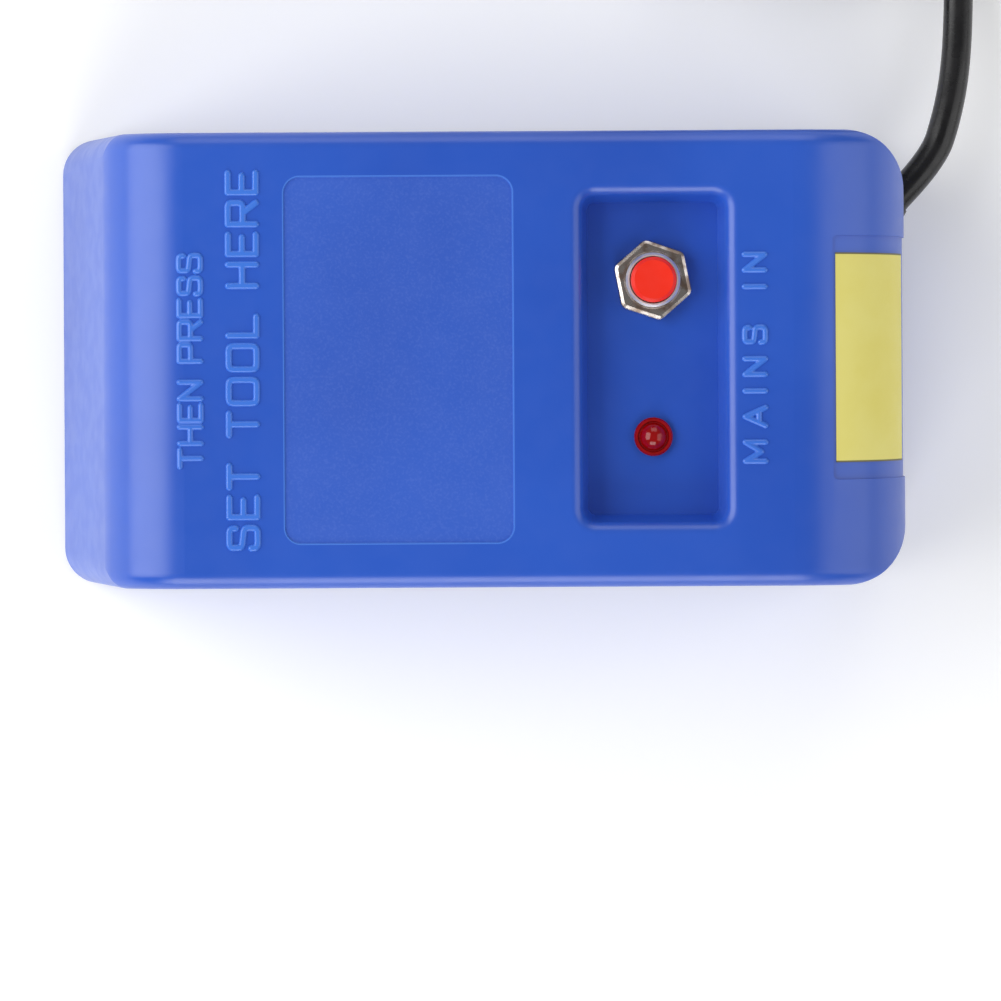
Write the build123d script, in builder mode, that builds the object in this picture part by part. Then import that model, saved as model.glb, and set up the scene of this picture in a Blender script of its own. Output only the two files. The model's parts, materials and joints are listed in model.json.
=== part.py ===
from build123d import *
import os
from math import cos, pi, radians, sin, tan

os.makedirs("parts", exist_ok=True)

# ---------------------------------------------------------------------------
# Driving dimensions, in millimetres.  +X runs to the cord end, +Y across the
# casing, +Z up.  The origin is on the table, under the middle of the casing.
# ---------------------------------------------------------------------------
LENGTH = 158.0
WIDTH = 85.0
SIDE_DRAFT = 1.6
HEIGHT = 52.0
WALL = 2.5
RIM_Z = 2.0
SLOPE = 16.0
SLOPE_TOP_RADIUS = 16.0
END_RADIUS = 22.0
EDGE_RADIUS = 3.0
CORNER_RADIUS = 7.0
END_CORNER_RADIUS = 12.5

FOOT_HEIGHT = 3.0
PLATE_THICKNESS = 2.5
PLATE_TOP = FOOT_HEIGHT + PLATE_THICKNESS
PLATE_GAP = 0.2

PAD_CENTRE_X = -14.0
PAD_LENGTH = 41.2
PAD_WIDTH = 66.0
PAD_DEPTH = 0.3
PAD_CORNER = 3.0

POCKET_CENTRE_X = 32.0
POCKET_FLOOR_Z = 44.0
POCKET_LENGTH = 23.6
POCKET_WIDTH = 56.6
POCKET_CORNER = 1.3
POCKET_DRAFT = 10.0
POCKET_LIP = 2.2
PANEL_UNDER_Z = POCKET_FLOOR_Z - WALL

BUTTON_X = 32.0
BUTTON_Y = 14.2
BUTTON_TRAVEL = 2.0
BUSHING_HOLE_DIAMETER = 10.0
LAMP_X = 32.0
LAMP_Y = -14.2
LAMP_HOLE_RADIUS = 3.0

LABEL_RECESS_DEPTH = 0.35
LABEL_RECESS_WIDTH = 44.0
LABEL_RECESS_START = 19.0
LABEL_RECESS_END_Z = 20.0
LABEL_WIDTH = 37.8
LABEL_THICKNESS = 0.15
LABEL_START = 20.7
LABEL_END = 74.0

SCREW_X = 68.0
SCREW_Y = 30.0
BOSS_DIAMETER = 7.0
BASE_SCREW_RADIUS = 1.45
BASE_SCREW_HEAD = 2.9
BASE_SCREW_LENGTH = 9.0
FOOT_X = 56.0
FOOT_Y = 28.0

CORE_STACK = 22.0
CORE_LENGTH = 60.0
CORE_HEIGHT = 40.0
CORE_LEG = 10.0
LAMINATION_PITCH = 0.5
LAMINATION_THICKNESS = 0.48
INSULATOR_THICKNESS = 0.5
CORE_BOTTOM = PLATE_TOP + INSULATOR_THICKNESS
CORE_BOLT_Y = 25.0
CORE_BOLT_Z = CORE_BOTTOM + CORE_LEG / 2
BRACKET_THICKNESS = 1.2
BRACKET_FOOT = 11.0
BRACKET_SCREW_Y = 15.0

CLAMP_X = 40.0
CLAMP_Y = -2.5
CLAMP_SCREW_SPAN = 18.0
WIRE_RADIUS = 0.9
SPLICE_X = 9.5
SPLICE_LENGTH = 10.0
SPLICE_Z = 8.7
NEUTRAL_SPLICE_Y = -14.0
SWITCHED_SPLICE_Y = 6.0

CORD_DIAMETER = 5.6
GLAND_HEADING = 50.5
GLAND_END = (79.7, 30.2, 12.5)
GLAND_LENGTH = 24.0
GLAND_FLANGE_DEPTH = 12.0

COIL_CENTRE = (57.8, 110.0)
COIL_OUTER_TURN = 34.5
COIL_TURN_PITCH = 5.75
COIL_RINGS = 3
COIL_LIFT = 0.6
TAIL_ANGLE = 105.0

# The free cord, from the gland's nose to where it joins the coil's outer turn.
CORD_ROUTE = [
    GLAND_END,
    (85.42, 37.14, 12.5),
    (89.1, 45.0, 11.8),
    (91.1, 53.9, 10.0),
    (92.1, 65.0, 7.4),
    (92.35, 78.0, 4.9),
    (92.3, 91.0, 3.6),
    (92.3, 101.0, 3.4),
]


# ---------------------------------------------------------------------------
# Shared shapes
# ---------------------------------------------------------------------------
def housing_form(inset):
    """Solid of the casing's outline with every face but the bottom moved in by inset."""
    lean = tan(radians(SLOPE))
    left = -LENGTH / 2 + inset / cos(radians(SLOPE)) - RIM_Z * lean
    right = LENGTH / 2 - inset
    top = HEIGHT - inset
    shoulder = left + top * lean
    edge_radius = max(EDGE_RADIUS - inset, 0.6)

    def half_width(z):
        return WIDTH / 2 - inset - z * tan(radians(SIDE_DRAFT))

    with BuildPart() as form:
        with BuildSketch(Plane.XZ):
            with BuildLine():
                Polyline((left, 0), (shoulder, top), (right, top), (right, 0), close=True)
            make_face()
        extrude(amount=WIDTH, both=True)
        top_edges = form.edges().filter_by(Axis.Y).group_by(Axis.Z)[-1].sort_by(Axis.X)
        fillet(top_edges[0], SLOPE_TOP_RADIUS - inset)
        top_edges = form.edges().filter_by(Axis.Y).group_by(Axis.Z)[-1].sort_by(Axis.X)
        fillet(top_edges[-1], END_RADIUS - inset)
        # Long sides lean inwards by the mould's draft.
        with BuildSketch(Plane.YZ):
            with BuildLine():
                Polyline(
                    (-half_width(0), 0),
                    (half_width(0), 0),
                    (half_width(HEIGHT), HEIGHT),
                    (-half_width(HEIGHT), HEIGHT),
                    close=True,
                )
            make_face()
        extrude(amount=LENGTH, both=True, mode=Mode.INTERSECT)
        side_faces = form.faces().filter_by(lambda f: abs(f.normal_at().Y) > 0.9)
        side_edges = side_faces.edges().filter_by(lambda e: e.center().Z > 0.01)
        fillet(side_edges, edge_radius)
    # Upright corners at the cord end.
    with BuildPart() as end_corners:
        for z, radius in ((-1.0, END_CORNER_RADIUS), (HEIGHT + 1.0, END_CORNER_RADIUS)):
            with BuildSketch(Plane.XY.offset(z)):
                with Locations((right - LENGTH, 0)):
                    RectangleRounded(2 * LENGTH, 2 * half_width(z), radius - inset)
        loft(ruled=True)
    # Corners that follow the sloped end and grow tighter towards its top.
    with BuildPart() as slope_corners:
        for z, radius in ((-1.0, CORNER_RADIUS), (HEIGHT + 1.0, EDGE_RADIUS)):
            with BuildSketch(Plane.XY.offset(z)):
                with Locations((left + z * lean + LENGTH, 0)):
                    RectangleRounded(2 * LENGTH, 2 * half_width(z), max(radius - inset, edge_radius))
        loft(ruled=True)
    with BuildPart() as whole:
        add(form.part)
        add(end_corners.part, mode=Mode.INTERSECT)
        add(slope_corners.part, mode=Mode.INTERSECT)
    return whole.part


def end_band(depth_out, depth_in, start_angle, end_angle, width):
    """Curved slab that follows the cord end's big radius between two depths under its surface."""
    radius_out = END_RADIUS - depth_out
    radius_in = END_RADIUS - depth_in
    centre = Vector(LENGTH / 2 - END_RADIUS, HEIGHT - END_RADIUS)

    def at(radius, angle):
        return centre + Vector(radius * sin(radians(angle)), radius * cos(radians(angle)))

    middle = (start_angle + end_angle) / 2
    with BuildPart() as band:
        with BuildSketch(Plane.XZ):
            with BuildLine():
                ThreePointArc(at(radius_out, start_angle), at(radius_out, middle), at(radius_out, end_angle))
                Line(at(radius_out, end_angle), at(radius_in, end_angle))
                ThreePointArc(at(radius_in, end_angle), at(radius_in, middle), at(radius_in, start_angle))
                Line(at(radius_in, start_angle), at(radius_out, start_angle))
            make_face()
        extrude(amount=width / 2, both=True)
    return band.part


def bend_radii(points):
    """Largest arc that each corner's two runs allow."""
    corners = [Vector(*point) for point in points]
    radii = []
    for before, corner, after in zip(corners, corners[1:], corners[2:]):
        turn = radians((corner - before).get_angle(after - corner))
        shorter = min((corner - before).length, (after - corner).length)
        radii.append(0.45 * shorter / tan(turn / 2))
    return radii


def bent_tube(points, diameter):
    """Round bar along straight runs joined by tangent arcs."""
    with BuildPart() as tube:
        with BuildLine() as path:
            FilletPolyline(*points, radius=bend_radii(points))
        with BuildSketch(Plane(origin=path.line @ 0, z_dir=path.line % 0)):
            Circle(diameter / 2)
        sweep()
    return tube.part


def along(point, heading, distance):
    """Point at a distance from another along a heading in plan."""
    return (
        point[0] + distance * cos(radians(heading)),
        point[1] + distance * sin(radians(heading)),
        point[2],
    )


def corner_points(x, y):
    """Four points placed alike in each quarter."""
    return [(sx * x, sy * y) for sx in (-1, 1) for sy in (-1, 1)]


def turned(*outline):
    """Solid turned about Z from the (radius, height) points of its half section."""
    with BuildPart() as solid:
        with BuildSketch(Plane.XZ):
            with BuildLine():
                Polyline(*outline, close=True)
            make_face()
        revolve(axis=Axis.Z)
    return solid.part


def pan_screw(radius, length, head_radius, head_height):
    """Pan-head screw that hangs down from its head's seat at the origin."""
    return turned(
        (0, head_height),
        (head_radius * 0.7, head_height),
        (head_radius, head_height * 0.5),
        (head_radius, 0),
        (radius, 0),
        (radius, 0.5 - length),
        (radius * 0.5, -length),
        (0, -length),
    )


GLAND_AXIS = Plane(
    origin=GLAND_END,
    z_dir=(-cos(radians(GLAND_HEADING)), -sin(radians(GLAND_HEADING)), 0),
)

# ---------------------------------------------------------------------------
# Casing: one moulded shell, open underneath
# ---------------------------------------------------------------------------
outer_form = housing_form(0)
inner_form = housing_form(WALL)
label_wall_height = HEIGHT - END_RADIUS - LABEL_RECESS_END_Z

with BuildPart() as label_recess:
    add(end_band(-1.0, LABEL_RECESS_DEPTH, LABEL_RECESS_START, 90, LABEL_RECESS_WIDTH))
    with Locations((LENGTH / 2 - LABEL_RECESS_DEPTH, 0, LABEL_RECESS_END_Z)):
        Box(
            1.0 + LABEL_RECESS_DEPTH,
            LABEL_RECESS_WIDTH,
            label_wall_height,
            align=(Align.MIN, Align.CENTER, Align.MIN),
        )
    upright = label_recess.edges().filter_by(lambda e: abs(e.length - LABEL_RECESS_DEPTH - 1.0) < 0.01)
    fillet(upright, 1.0)

with BuildPart() as casing:
    add(outer_form)
    add(inner_form, mode=Mode.SUBTRACT)
    # Tub that carries the button and the lamp.
    with BuildSketch(Plane.XY.offset(PANEL_UNDER_Z)):
        with Locations((POCKET_CENTRE_X, 0)):
            RectangleRounded(POCKET_LENGTH + 2 * WALL, POCKET_WIDTH + 2 * WALL, POCKET_CORNER + WALL)
    extrude(amount=HEIGHT - WALL / 2 - PANEL_UNDER_Z, taper=-POCKET_DRAFT / 2)
    # Columns for the base screws.
    with BuildSketch(Plane.XY.offset(PLATE_TOP)):
        with Locations(*corner_points(SCREW_X, SCREW_Y)):
            Circle(BOSS_DIAMETER / 2)
    extrude(amount=HEIGHT)
    # Sleeve that holds the cord's strain relief.
    with BuildSketch(GLAND_AXIS):
        Circle(6.0)
    extrude(amount=GLAND_FLANGE_DEPTH)
    # Everything stays inside the outline and above the rim.
    add(outer_form, mode=Mode.INTERSECT)
    split(bisect_by=Plane.XY.offset(RIM_Z), keep=Keep.TOP)
    # Pocket with drafted walls.
    with BuildSketch(Plane.XY.offset(POCKET_FLOOR_Z)):
        with Locations((POCKET_CENTRE_X, 0)):
            RectangleRounded(POCKET_LENGTH, POCKET_WIDTH, POCKET_CORNER)
    extrude(amount=HEIGHT - POCKET_FLOOR_Z + 1, taper=-POCKET_DRAFT, mode=Mode.SUBTRACT)
    lip = casing.edges().filter_by_position(Axis.Z, HEIGHT - 0.01, HEIGHT + 0.01)
    lip = lip.filter_by(lambda e: abs(e.center().X - POCKET_CENTRE_X) < 16 and abs(e.center().Y) < 32)
    fillet(lip, POCKET_LIP)
    # Shallow recess where the tool is laid.
    with BuildSketch(Plane.XY.offset(HEIGHT - PAD_DEPTH)):
        with Locations((PAD_CENTRE_X, 0)):
            RectangleRounded(PAD_LENGTH, PAD_WIDTH, PAD_CORNER)
    extrude(amount=1, mode=Mode.SUBTRACT)
    add(label_recess.part, mode=Mode.SUBTRACT)
    # Screw holes, control holes and the cord's way out.
    with BuildSketch(Plane.XY.offset(PLATE_TOP)):
        with Locations(*corner_points(SCREW_X, SCREW_Y)):
            Circle(BASE_SCREW_RADIUS + 0.05)
    extrude(amount=BASE_SCREW_LENGTH, mode=Mode.SUBTRACT)
    with BuildSketch(Plane.XY.offset(PANEL_UNDER_Z - 1)):
        with Locations((BUTTON_X, BUTTON_Y)):
            Circle(BUSHING_HOLE_DIAMETER / 2)
        with Locations((LAMP_X, LAMP_Y)):
            Circle(LAMP_HOLE_RADIUS)
    extrude(amount=WALL + 2, mode=Mode.SUBTRACT)
    with BuildSketch(GLAND_AXIS.offset(-6)):
        Circle(4.0)
    extrude(amount=GLAND_LENGTH + 6, mode=Mode.SUBTRACT)
casing.part.label = "casing"
export_step(casing.part, "parts/casing.step")

# ---------------------------------------------------------------------------
# Blank label in its recess
# ---------------------------------------------------------------------------
with BuildPart() as rating_label:
    add(
        end_band(
            LABEL_RECESS_DEPTH - LABEL_THICKNESS,
            LABEL_RECESS_DEPTH,
            LABEL_START,
            LABEL_END,
            LABEL_WIDTH,
        )
    )
rating_label.part.label = "rating_label"
export_step(rating_label.part, "parts/rating_label.step")

# ---------------------------------------------------------------------------
# Base: plate, its screws and the rubber feet
# ---------------------------------------------------------------------------
bracket_screw_x = CORE_STACK / 2 + (BRACKET_FOOT + BRACKET_THICKNESS) / 2
bracket_screw_points = [
    (PAD_CENTRE_X + x, y) for x, y in corner_points(bracket_screw_x, BRACKET_SCREW_Y)
]
clamp_screw_points = [(CLAMP_X, CLAMP_Y + side * CLAMP_SCREW_SPAN / 2) for side in (-1, 1)]
BLIND_DEPTH = 2.1

with BuildPart() as base_plate:
    add(housing_form(WALL + PLATE_GAP))
    split(bisect_by=Plane.XY.offset(FOOT_HEIGHT), keep=Keep.TOP)
    split(bisect_by=Plane.XY.offset(PLATE_TOP), keep=Keep.BOTTOM)
    with Locations(Plane((0, 0, FOOT_HEIGHT), x_dir=(1, 0, 0), z_dir=(0, 0, -1))):
        with Locations(*corner_points(SCREW_X, SCREW_Y)):
            CounterSinkHole(BASE_SCREW_RADIUS + 0.1, BASE_SCREW_HEAD + 0.05, counter_sink_angle=90)
    with BuildSketch(Plane.XY.offset(PLATE_TOP)):
        with Locations(*bracket_screw_points, *clamp_screw_points):
            Circle(1.25)
    extrude(amount=-BLIND_DEPTH, mode=Mode.SUBTRACT)
base_plate.part.label = "base_plate"
export_step(base_plate.part, "parts/base_plate.step")

base_screw = turned(
    (0, 0.8),
    (0.6, 0),
    (BASE_SCREW_HEAD, 0),
    (BASE_SCREW_RADIUS, BASE_SCREW_HEAD - BASE_SCREW_RADIUS),
    (BASE_SCREW_RADIUS, BASE_SCREW_LENGTH),
    (0, BASE_SCREW_LENGTH + BASE_SCREW_RADIUS),
)
with BuildPart() as base_screws:
    with Locations(Plane.XY.offset(FOOT_HEIGHT)):
        with Locations(*corner_points(SCREW_X, SCREW_Y)):
            add(base_screw)
base_screws.part.label = "base_screws"
export_step(base_screws.part, "parts/base_screws.step")

with BuildPart() as rubber_feet:
    with Locations(*corner_points(FOOT_X, FOOT_Y)):
        Cylinder(5.0, FOOT_HEIGHT, align=(Align.CENTER, Align.CENTER, Align.MIN))
    fillet(rubber_feet.edges().group_by(Axis.Z)[0], 0.8)
rubber_feet.part.label = "rubber_feet"
export_step(rubber_feet.part, "parts/rubber_feet.step")

# ---------------------------------------------------------------------------
# Magnet: E-shaped laminations, bobbin, winding, tape and thermal fuse
# ---------------------------------------------------------------------------
lamination_count = int(CORE_STACK / LAMINATION_PITCH)
first_lamination_x = PAD_CENTRE_X - CORE_STACK / 2
leg_top = CORE_BOTTOM + CORE_HEIGHT
window_bottom = CORE_BOTTOM + CORE_LEG
window_centre_y = 1.5 * CORE_LEG

with BuildPart() as core_laminations:
    with BuildSketch(
        *[Plane.YZ.offset(first_lamination_x + n * LAMINATION_PITCH) for n in range(lamination_count)]
    ):
        with Locations((0, CORE_BOTTOM + CORE_HEIGHT / 2)):
            Rectangle(CORE_LENGTH, CORE_HEIGHT)
        with Locations((-window_centre_y, leg_top), (window_centre_y, leg_top)):
            Rectangle(CORE_LEG, 2 * (CORE_HEIGHT - CORE_LEG), mode=Mode.SUBTRACT)
        with Locations((-CORE_BOLT_Y, CORE_BOLT_Z), (CORE_BOLT_Y, CORE_BOLT_Z)):
            Circle(1.8, mode=Mode.SUBTRACT)
    extrude(amount=LAMINATION_THICKNESS)
core_laminations.part.label = "core_laminations"
export_step(core_laminations.part, "parts/core_laminations.step")

with BuildPart() as core_insulator:
    with BuildSketch(Plane.XY.offset(PLATE_TOP)):
        with Locations((PAD_CENTRE_X, 0)):
            Rectangle(CORE_STACK, CORE_LENGTH)
    extrude(amount=INSULATOR_THICKNESS)
core_insulator.part.label = "core_insulator"
export_step(core_insulator.part, "parts/core_insulator.step")

BOBBIN_BORE = (CORE_STACK + 0.4, 2 * CORE_LEG + 0.4)
BOBBIN_WALL = 1.0
BOBBIN_FLANGE = (41.2, 39.2)
BOBBIN_FLANGE_THICKNESS = 1.2
WINDING_OUTSIDE = (40.0, 38.0)
TAPE_THICKNESS = 0.3
bobbin_bottom = window_bottom + 0.3
bobbin_top = leg_top - 0.3
winding_bottom = bobbin_bottom + BOBBIN_FLANGE_THICKNESS
winding_height = bobbin_top - bobbin_bottom - 2 * BOBBIN_FLANGE_THICKNESS
coil_origin = Plane.XY.offset(winding_bottom)
bobbin_tube = (BOBBIN_BORE[0] + 2 * BOBBIN_WALL, BOBBIN_BORE[1] + 2 * BOBBIN_WALL)
tape_outside = (WINDING_OUTSIDE[0] + 2 * TAPE_THICKNESS, WINDING_OUTSIDE[1] + 2 * TAPE_THICKNESS)

with BuildPart() as coil_bobbin:
    with BuildSketch(Plane.XY.offset(bobbin_bottom), Plane.XY.offset(winding_bottom + winding_height)):
        with Locations((PAD_CENTRE_X, 0)):
            RectangleRounded(*BOBBIN_FLANGE, 1.5)
    extrude(amount=BOBBIN_FLANGE_THICKNESS)
    with BuildSketch(coil_origin):
        with Locations((PAD_CENTRE_X, 0)):
            RectangleRounded(*bobbin_tube, 1.0)
    extrude(amount=winding_height)
    with BuildSketch(Plane.XY.offset(bobbin_bottom)):
        with Locations((PAD_CENTRE_X, 0)):
            Rectangle(*BOBBIN_BORE)
    extrude(amount=bobbin_top - bobbin_bottom, mode=Mode.SUBTRACT)
coil_bobbin.part.label = "coil_bobbin"
export_step(coil_bobbin.part, "parts/coil_bobbin.step")

with BuildPart() as coil_winding:
    with BuildSketch(coil_origin):
        with Locations((PAD_CENTRE_X, 0)):
            RectangleRounded(*WINDING_OUTSIDE, 5.0)
            RectangleRounded(*bobbin_tube, 1.0, mode=Mode.SUBTRACT)
    extrude(amount=winding_height)
coil_winding.part.label = "coil_winding"
export_step(coil_winding.part, "parts/coil_winding.step")

with BuildPart() as coil_tape:
    with BuildSketch(coil_origin):
        with Locations((PAD_CENTRE_X, 0)):
            RectangleRounded(*tape_outside, 5.0 + TAPE_THICKNESS)
            RectangleRounded(*WINDING_OUTSIDE, 5.0, mode=Mode.SUBTRACT)
    extrude(amount=winding_height)
coil_tape.part.label = "coil_tape"
export_step(coil_tape.part, "parts/coil_tape.step")

FUSE_RADIUS = 1.75
coil_face_x = PAD_CENTRE_X + tape_outside[0] / 2
with BuildPart() as thermal_fuse:
    with BuildSketch(Plane((coil_face_x + FUSE_RADIUS + 0.02, -5, 32), z_dir=(0, 1, 0))):
        Circle(FUSE_RADIUS)
    extrude(amount=10)
    chamfer(thermal_fuse.edges().filter_by(GeomType.CIRCLE), 0.4)
    with BuildSketch(Plane((coil_face_x + FUSE_RADIUS + 0.02, -9, 32), z_dir=(0, 1, 0))):
        Circle(0.4)
    extrude(amount=18)
thermal_fuse.part.label = "thermal_fuse"
export_step(thermal_fuse.part, "parts/thermal_fuse.step")

# ---------------------------------------------------------------------------
# Core brackets and their fasteners
# ---------------------------------------------------------------------------
BRACKET_HEIGHT = 10.4
BOLT_RADIUS = 1.7
WASHER_THICKNESS = 0.5
bolt_points = [(-CORE_BOLT_Y, CORE_BOLT_Z), (CORE_BOLT_Y, CORE_BOLT_Z)]


def core_bracket(side):
    """Steel angle on one face of the core: side is -1 or 1 along X."""
    face_x = PAD_CENTRE_X + side * CORE_STACK / 2
    with BuildPart() as bracket:
        with BuildSketch(Plane.XZ):
            with BuildLine():
                Polyline(
                    (face_x, PLATE_TOP),
                    (face_x + side * BRACKET_FOOT, PLATE_TOP),
                    (face_x + side * BRACKET_FOOT, PLATE_TOP + BRACKET_THICKNESS),
                    (face_x + side * BRACKET_THICKNESS, PLATE_TOP + BRACKET_THICKNESS),
                    (face_x + side * BRACKET_THICKNESS, PLATE_TOP + BRACKET_HEIGHT),
                    (face_x, PLATE_TOP + BRACKET_HEIGHT),
                    close=True,
                )
            make_face()
        extrude(amount=CORE_LENGTH / 2, both=True)
        bend = bracket.edges().filter_by(Axis.Y).sort_by_distance((face_x, 0, PLATE_TOP))[0]
        fillet(bend, 1.0)
        with BuildSketch(Plane.YZ.offset(face_x)):
            with Locations(*bolt_points):
                Circle(1.8)
        extrude(amount=2 * BRACKET_THICKNESS, both=True, mode=Mode.SUBTRACT)
        with BuildSketch(Plane.XY.offset(PLATE_TOP)):
            with Locations(*bracket_screw_points):
                Circle(1.4)
        extrude(amount=2 * BRACKET_THICKNESS, mode=Mode.SUBTRACT)
    return bracket.part


with BuildPart() as core_bracket_left:
    add(core_bracket(-1))
core_bracket_left.part.label = "core_bracket_left"
export_step(core_bracket_left.part, "parts/core_bracket_left.step")

with BuildPart() as core_bracket_right:
    add(core_bracket(1))
core_bracket_right.part.label = "core_bracket_right"
export_step(core_bracket_right.part, "parts/core_bracket_right.step")

bracket_reach = CORE_STACK / 2 + BRACKET_THICKNESS
nut_x = PAD_CENTRE_X + bracket_reach + WASHER_THICKNESS
head_x = PAD_CENTRE_X - bracket_reach - WASHER_THICKNESS
bolt_length = nut_x - head_x + 4.0

with BuildPart() as core_bolts:
    bolt = pan_screw(BOLT_RADIUS, bolt_length, 3.0, 2.2)
    with Locations(Plane((head_x, 0, 0), x_dir=(0, 1, 0), z_dir=(-1, 0, 0))):
        with Locations(*[(y, -z) for y, z in bolt_points]):
            add(bolt)
core_bolts.part.label = "core_bolts"
export_step(core_bolts.part, "parts/core_bolts.step")

with BuildPart() as core_washers:
    with BuildSketch(Plane.YZ.offset(head_x), Plane.YZ.offset(nut_x - WASHER_THICKNESS)):
        with Locations(*bolt_points):
            Circle(3.4)
            Circle(BOLT_RADIUS + 0.1, mode=Mode.SUBTRACT)
    extrude(amount=WASHER_THICKNESS)
core_washers.part.label = "core_washers"
export_step(core_washers.part, "parts/core_washers.step")

with BuildPart() as core_nuts:
    with BuildSketch(Plane.YZ.offset(nut_x)):
        with Locations(*bolt_points):
            RegularPolygon(3.0, 6, major_radius=False)
            Circle(BOLT_RADIUS + 0.02, mode=Mode.SUBTRACT)
    extrude(amount=2.6)
core_nuts.part.label = "core_nuts"
export_step(core_nuts.part, "parts/core_nuts.step")

bracket_screw = pan_screw(1.2, BRACKET_THICKNESS + BLIND_DEPTH - 0.1, 2.5, 1.7)
with BuildPart() as bracket_screws:
    with Locations(Plane.XY.offset(PLATE_TOP + BRACKET_THICKNESS)):
        with Locations(*bracket_screw_points):
            add(bracket_screw)
bracket_screws.part.label = "bracket_screws"
export_step(bracket_screws.part, "parts/bracket_screws.step")

# ---------------------------------------------------------------------------
# Push-button switch: fixed pieces
# ---------------------------------------------------------------------------
BUSHING_RADIUS = 4.95
BUSHING_TOP = 47.6
BUSHING_STEP_Z = 43.0
FLANGE_RADIUS = 6.75
FLANGE_BOTTOM = PANEL_UNDER_Z - 1.0
CAP_RADIUS = 4.1
STEM_RADIUS = 2.0
NUT_ACROSS_FLATS = 13.0
NUT_THICKNESS = 2.4
NUT_TURN = 11.0
NUT_CORNER_RADIUS = 1.4
NUT_CHAMFER = 0.35
SWITCH_WASHER_THICKNESS = 0.4
SWITCH_BODY_BOTTOM = 24.0
SWITCH_FLOOR_Z = 26.0
SWITCH_ROOF_Z = 39.0
CONTACT_Z = 31.4
DISC_BOTTOM = CONTACT_Z + BUTTON_TRAVEL + 0.1
DISC_THICKNESS = 0.5
TERMINAL_OFFSET = 3.9
TERMINAL_BOTTOM = 17.0
nut_bottom = POCKET_FLOOR_Z + SWITCH_WASHER_THICKNESS

with BuildPart() as switch_bushing:
    with Locations((BUTTON_X, BUTTON_Y, 0)):
        add(
            turned(
                (STEM_RADIUS + 0.05, FLANGE_BOTTOM),
                (FLANGE_RADIUS, FLANGE_BOTTOM),
                (FLANGE_RADIUS, PANEL_UNDER_Z),
                (BUSHING_RADIUS, PANEL_UNDER_Z),
                (BUSHING_RADIUS, BUSHING_TOP - 0.5),
                (BUSHING_RADIUS - 0.4, BUSHING_TOP),
                (CAP_RADIUS + 0.2, BUSHING_TOP),
                (CAP_RADIUS + 0.2, BUSHING_STEP_Z),
                (STEM_RADIUS + 0.05, BUSHING_STEP_Z),
            )
        )
switch_bushing.part.label = "switch_bushing"
export_step(switch_bushing.part, "parts/switch_bushing.step")

with BuildPart() as switch_washer:
    with BuildSketch(Plane.XY.offset(POCKET_FLOOR_Z)):
        with Locations((BUTTON_X, BUTTON_Y)):
            Circle(6.3)
            Circle(BUSHING_RADIUS + 0.1, mode=Mode.SUBTRACT)
    extrude(amount=SWITCH_WASHER_THICKNESS)
switch_washer.part.label = "switch_washer"
export_step(switch_washer.part, "parts/switch_washer.step")

with BuildPart() as switch_nut:
    with BuildSketch(Plane.XY.offset(nut_bottom)):
        with Locations((BUTTON_X, BUTTON_Y)):
            RegularPolygon(NUT_ACROSS_FLATS / 2, 6, major_radius=False, rotation=NUT_TURN - 30)
    extrude(amount=NUT_THICKNESS)
    fillet(switch_nut.edges().filter_by(Axis.Z), NUT_CORNER_RADIUS)
    chamfer(switch_nut.faces().sort_by(Axis.Z)[-1].edges(), NUT_CHAMFER)
    with BuildSketch(Plane.XY.offset(nut_bottom)):
        with Locations((BUTTON_X, BUTTON_Y)):
            Circle(BUSHING_RADIUS + 0.02)
    extrude(amount=NUT_THICKNESS, mode=Mode.SUBTRACT)
    mouth = switch_nut.edges().filter_by(GeomType.CIRCLE).filter_by(lambda e: e.radius < 5.1)
    chamfer(mouth.group_by(Axis.Z)[-1], 0.3)
switch_nut.part.label = "switch_nut"
export_step(switch_nut.part, "parts/switch_nut.step")

terminal_points = [(BUTTON_X + side * TERMINAL_OFFSET, BUTTON_Y) for side in (-1, 1)]
with BuildPart() as switch_body:
    with Locations((BUTTON_X, BUTTON_Y, 0)):
        add(
            turned(
                (0, SWITCH_BODY_BOTTOM),
                (6.5, SWITCH_BODY_BOTTOM),
                (6.5, FLANGE_BOTTOM),
                (STEM_RADIUS + 0.15, FLANGE_BOTTOM),
                (STEM_RADIUS + 0.15, SWITCH_ROOF_Z),
                (5.2, SWITCH_ROOF_Z),
                (5.2, SWITCH_FLOOR_Z),
                (0, SWITCH_FLOOR_Z),
            )
        )
    with BuildSketch(Plane.XY.offset(SWITCH_BODY_BOTTOM)):
        with Locations(*terminal_points):
            Rectangle(0.8, 4.0)
    extrude(amount=SWITCH_FLOOR_Z - SWITCH_BODY_BOTTOM, mode=Mode.SUBTRACT)
switch_body.part.label = "switch_body"
export_step(switch_body.part, "parts/switch_body.step")

with BuildPart() as switch_terminals:
    with BuildSketch(Plane.XY.offset(TERMINAL_BOTTOM)):
        with Locations(*terminal_points):
            Rectangle(0.8, 4.0)
    extrude(amount=CONTACT_Z - TERMINAL_BOTTOM)
    with BuildSketch(Plane.XY.offset(CONTACT_Z)):
        with Locations(*[(x + 0.2 * (1 if x < BUTTON_X else -1), y) for x, y in terminal_points]):
            Rectangle(1.2, 3.0)
    extrude(amount=-0.6)
    with BuildSketch(Plane.YZ.offset(BUTTON_X)):
        with Locations((BUTTON_Y, TERMINAL_BOTTOM + 2.0)):
            Circle(0.7)
    extrude(amount=2 * TERMINAL_OFFSET, both=True, mode=Mode.SUBTRACT)
switch_terminals.part.label = "switch_terminals"
export_step(switch_terminals.part, "parts/switch_terminals.step")

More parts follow.
